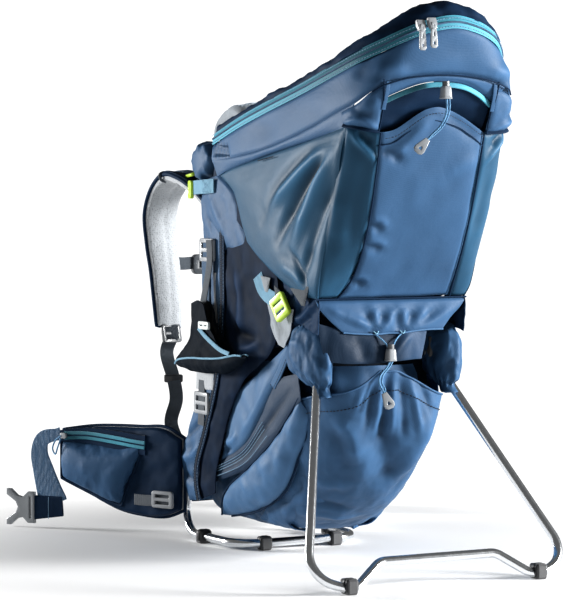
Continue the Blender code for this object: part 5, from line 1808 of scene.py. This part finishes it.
def fin_zip(name, side):
    """Collar, tape, coil, slider and pull above the fin's pocket."""
    body = "fin_" + name
    out = (side, -0.5, 0)
    top = fin_surface(side, 0.0190, 0.28, 0.50, 0.28, 0.98, rows=5, cols=60)
    hump = 0.004 * np.sin(np.pi * np.linspace(0, 1, 60))
    edge = top + normals(top, out) * hump[None, :, None]
    edge[..., 2] -= 0.012 * (1 - np.linspace(0, 1, 60)[None]) ** 2
    cloth("fin_collar_" + name, edge, "navy", thick=0.006, body=body, out=out)
    arc = [tuple(p) for p in edge[2, ::4] + normals(edge, out)[2, ::4] * 0.0012]
    ribbon("fin_zip_tape_" + name, arc, 0.012, 0.0024, out, "teal", body=body,
           tint=lambda t: 0.5 * np.sin(5 * t) - 0.2)
    arc = [tuple(p) for p in edge[2, ::4] + normals(edge, out)[2, ::4] * 0.0026]
    rope("fin_zip_coil_" + name, arc, 0.0010, "navy", body=body)
    stitches("fin_zip_stitch_" + name, [tuple(p) for p in edge[0, ::6] + normals(edge, out)[0, ::6]
                                        * 0.0012], out, "thread", body=body)
    pull = edge[2, -4] + normals(edge, out)[2, -4] * 0.004
    slab("fin_zip_slider_" + name, rect(0.010, 0.007, 0.002), 0.004, facing(tuple(pull), out), "silver",
         body=body)
    loop = [tuple(pull + np.array((side * dx, dy, dz))) for dx, dy, dz in
            ((0.003, 0.002, 0.0), (0.008, 0.012, -0.008), (0.010, 0.018, -0.020), (0.008, 0.012, -0.028),
             (0.007, 0.006, -0.018), (0.004, 0.001, -0.004))]
    pull_cord("fin_pull_" + name, loop, body)


def fin_strap(name, side):
    body = "fin_" + name
    out = (side, -0.5, 0)
    low_edge = fin_surface(side, 0.0265, -0.30, -0.30, 0.02, 0.34, rows=2, cols=5)[0]
    strap = [tuple(p) for p in low_edge]
    ribbon("fin_strap_" + name, strap, 0.016, 0.0016, out, "webbing", body=body)
    ladder_lock("fin_lock_" + name, tuple(low_edge[1] + np.array((side * 0.002, -0.001, 0.0))),
                (side, -0.5, 0), (0.036, 0.022), body=body)


def build_hip():
    for name, side in SIDES:
        fin_pads(name, side)
        fin_pocket(name, side)
        fin_zip(name, side)
        fin_strap(name, side)
        hip_webbing(name, side, "fin_" + name)


def pull_cord(name, points, body):
    """Thin cord loop on a zip slider, declared with its real length."""
    made = rope(name, points, 0.0012, "cord", body=body)


def hip_webbing(name, side, body):
    out = (side * 0.76, -0.64, 0.0)
    band = sided(side, (224, 341, 34), (240, 361, 32), (256, 380.5, 30))
    ribbon("hip_webbing_" + name, band, (0.030, 0.036, 0.037), 0.0048, out, "navy", body=body,
           replaces=("hip_web_" + name,))
    loop = sided(side, (233, 351, 36), (238, 359, 58), (243, 368, 86), (247, 373.5, 112), (243, 367, 134),
                 (225, 344, 142))
    ribbon("hip_loop_" + name, loop, (0.046, 0.046, 0.034, 0.022, 0.018, 0.020), 0.0020, out,
           "webbing_light", body=body)
    stitches("hip_bar_tack_" + name, sided(side, (238.5, 357, 16), (238.5, 357, 46)), out, "thread_pale",
             body=body, pitch=0.0016, lift=0.0026)


PRONGS = ((-0.022, 0.018), (0.022, 0.018), (0.022, 0.009), (0.0135, 0.000), (0.016, -0.010),
          (0.0255, -0.021), (0.0255, -0.026), (0.019, -0.026), (0.009, -0.011), (0.0, -0.007),
          (-0.009, -0.011), (-0.019, -0.026), (-0.0255, -0.026), (-0.0255, -0.021), (-0.016, -0.010),
          (-0.0135, 0.000), (-0.022, 0.009))


def hip_buckles():
    """Two-pronged buckle on the near fin and its socket on the far one."""
    for kind, side, body, node in (("male", -1, "fin_left", "hip_buckle_male"),
                                   ("female", 1, "fin_right", "hip_buckle_female")):
        place = facing((side * 0.2655, 0.3920, 0.030), (side * 0.76, -0.64, 0.0), (-side * 0.64, -0.76, 0.0))
        slot = rect(0.034, 0.0050, 0.0015, (0, 0.0125))
        if kind == "male":
            outline, holes = PRONGS, (slot,)
        else:
            outline = rect(0.050, 0.044, 0.006, (0, -0.004))
            holes = (slot, rect(0.008, 0.018, 0.002, (-0.017, -0.010)),
                     rect(0.008, 0.018, 0.002, (0.017, -0.010)))
        slab("hip_clip_" + kind, outline, 0.0075, place, "silver", body=body, holes=holes, edge=0.0016,
             replaces=(node,))


# ---- zip sliders and last materials -------------------------------------------------------
def build_sliders():
    for name, (x, y, z) in (("left", (-0.0545, -0.4106, 0.7000)), ("right", (-0.0405, -0.4142, 0.7030))):
        body = "slider_" + name
        slab("slider_body_" + name, [(-0.0045, 0.006), (0.0045, 0.006), (0.0052, 0.0), (0.0035, -0.006),
                                     (-0.0035, -0.006), (-0.0052, 0.0)], 0.006,
             facing((x, y - 0.003, z + 0.006), (0, -1, 0.4)), "silver", body=body, edge=0.001,
             replaces=("zip_slider_" + name,))
        slab("slider_bail_" + name, rect(0.0050, 0.0080, 0.0015), 0.003,
             facing((x, y - 0.0062, z + 0.003), (0, -1, 0.2)), "silver", body=body, edge=0.0006,
             holes=(rect(0.0022, 0.004, 0.0008, (0, -0.0005)),))
        slab("slider_pull_" + name, [(-0.0030, 0.011), (0.0030, 0.011), (0.0040, 0.0), (0.0044, -0.011),
                                     (0.0025, -0.0135), (-0.0025, -0.0135), (-0.0044, -0.011),
                                     (-0.0040, 0.0)], 0.0026,
             facing((x + 0.0005, y - 0.0065, z - 0.0105), (0, -1, 0.06)), "silver", body=body, edge=0.0007,
             holes=(rect(0.0036, 0.0048, 0.0012, (0, -0.0080)), rect(0.0024, 0.0060, 0.0008, (0, 0.0035))))


build_camera()
build_world()
build_floor()
build_lamps()
build_cords()
build_metal()
build_rim()
build_band()
build_sides()
build_pocket()
build_yoke()
build_skirt()
build_underflap()
build_lower_bag()
build_stretch_pocket()
build_lower_side()
build_pods()
build_front_top()
build_back()
build_cockpit()
build_columns()
build_stirrups()
build_leg_locks()
build_harness()
build_hip()
hip_buckles()
build_sliders()
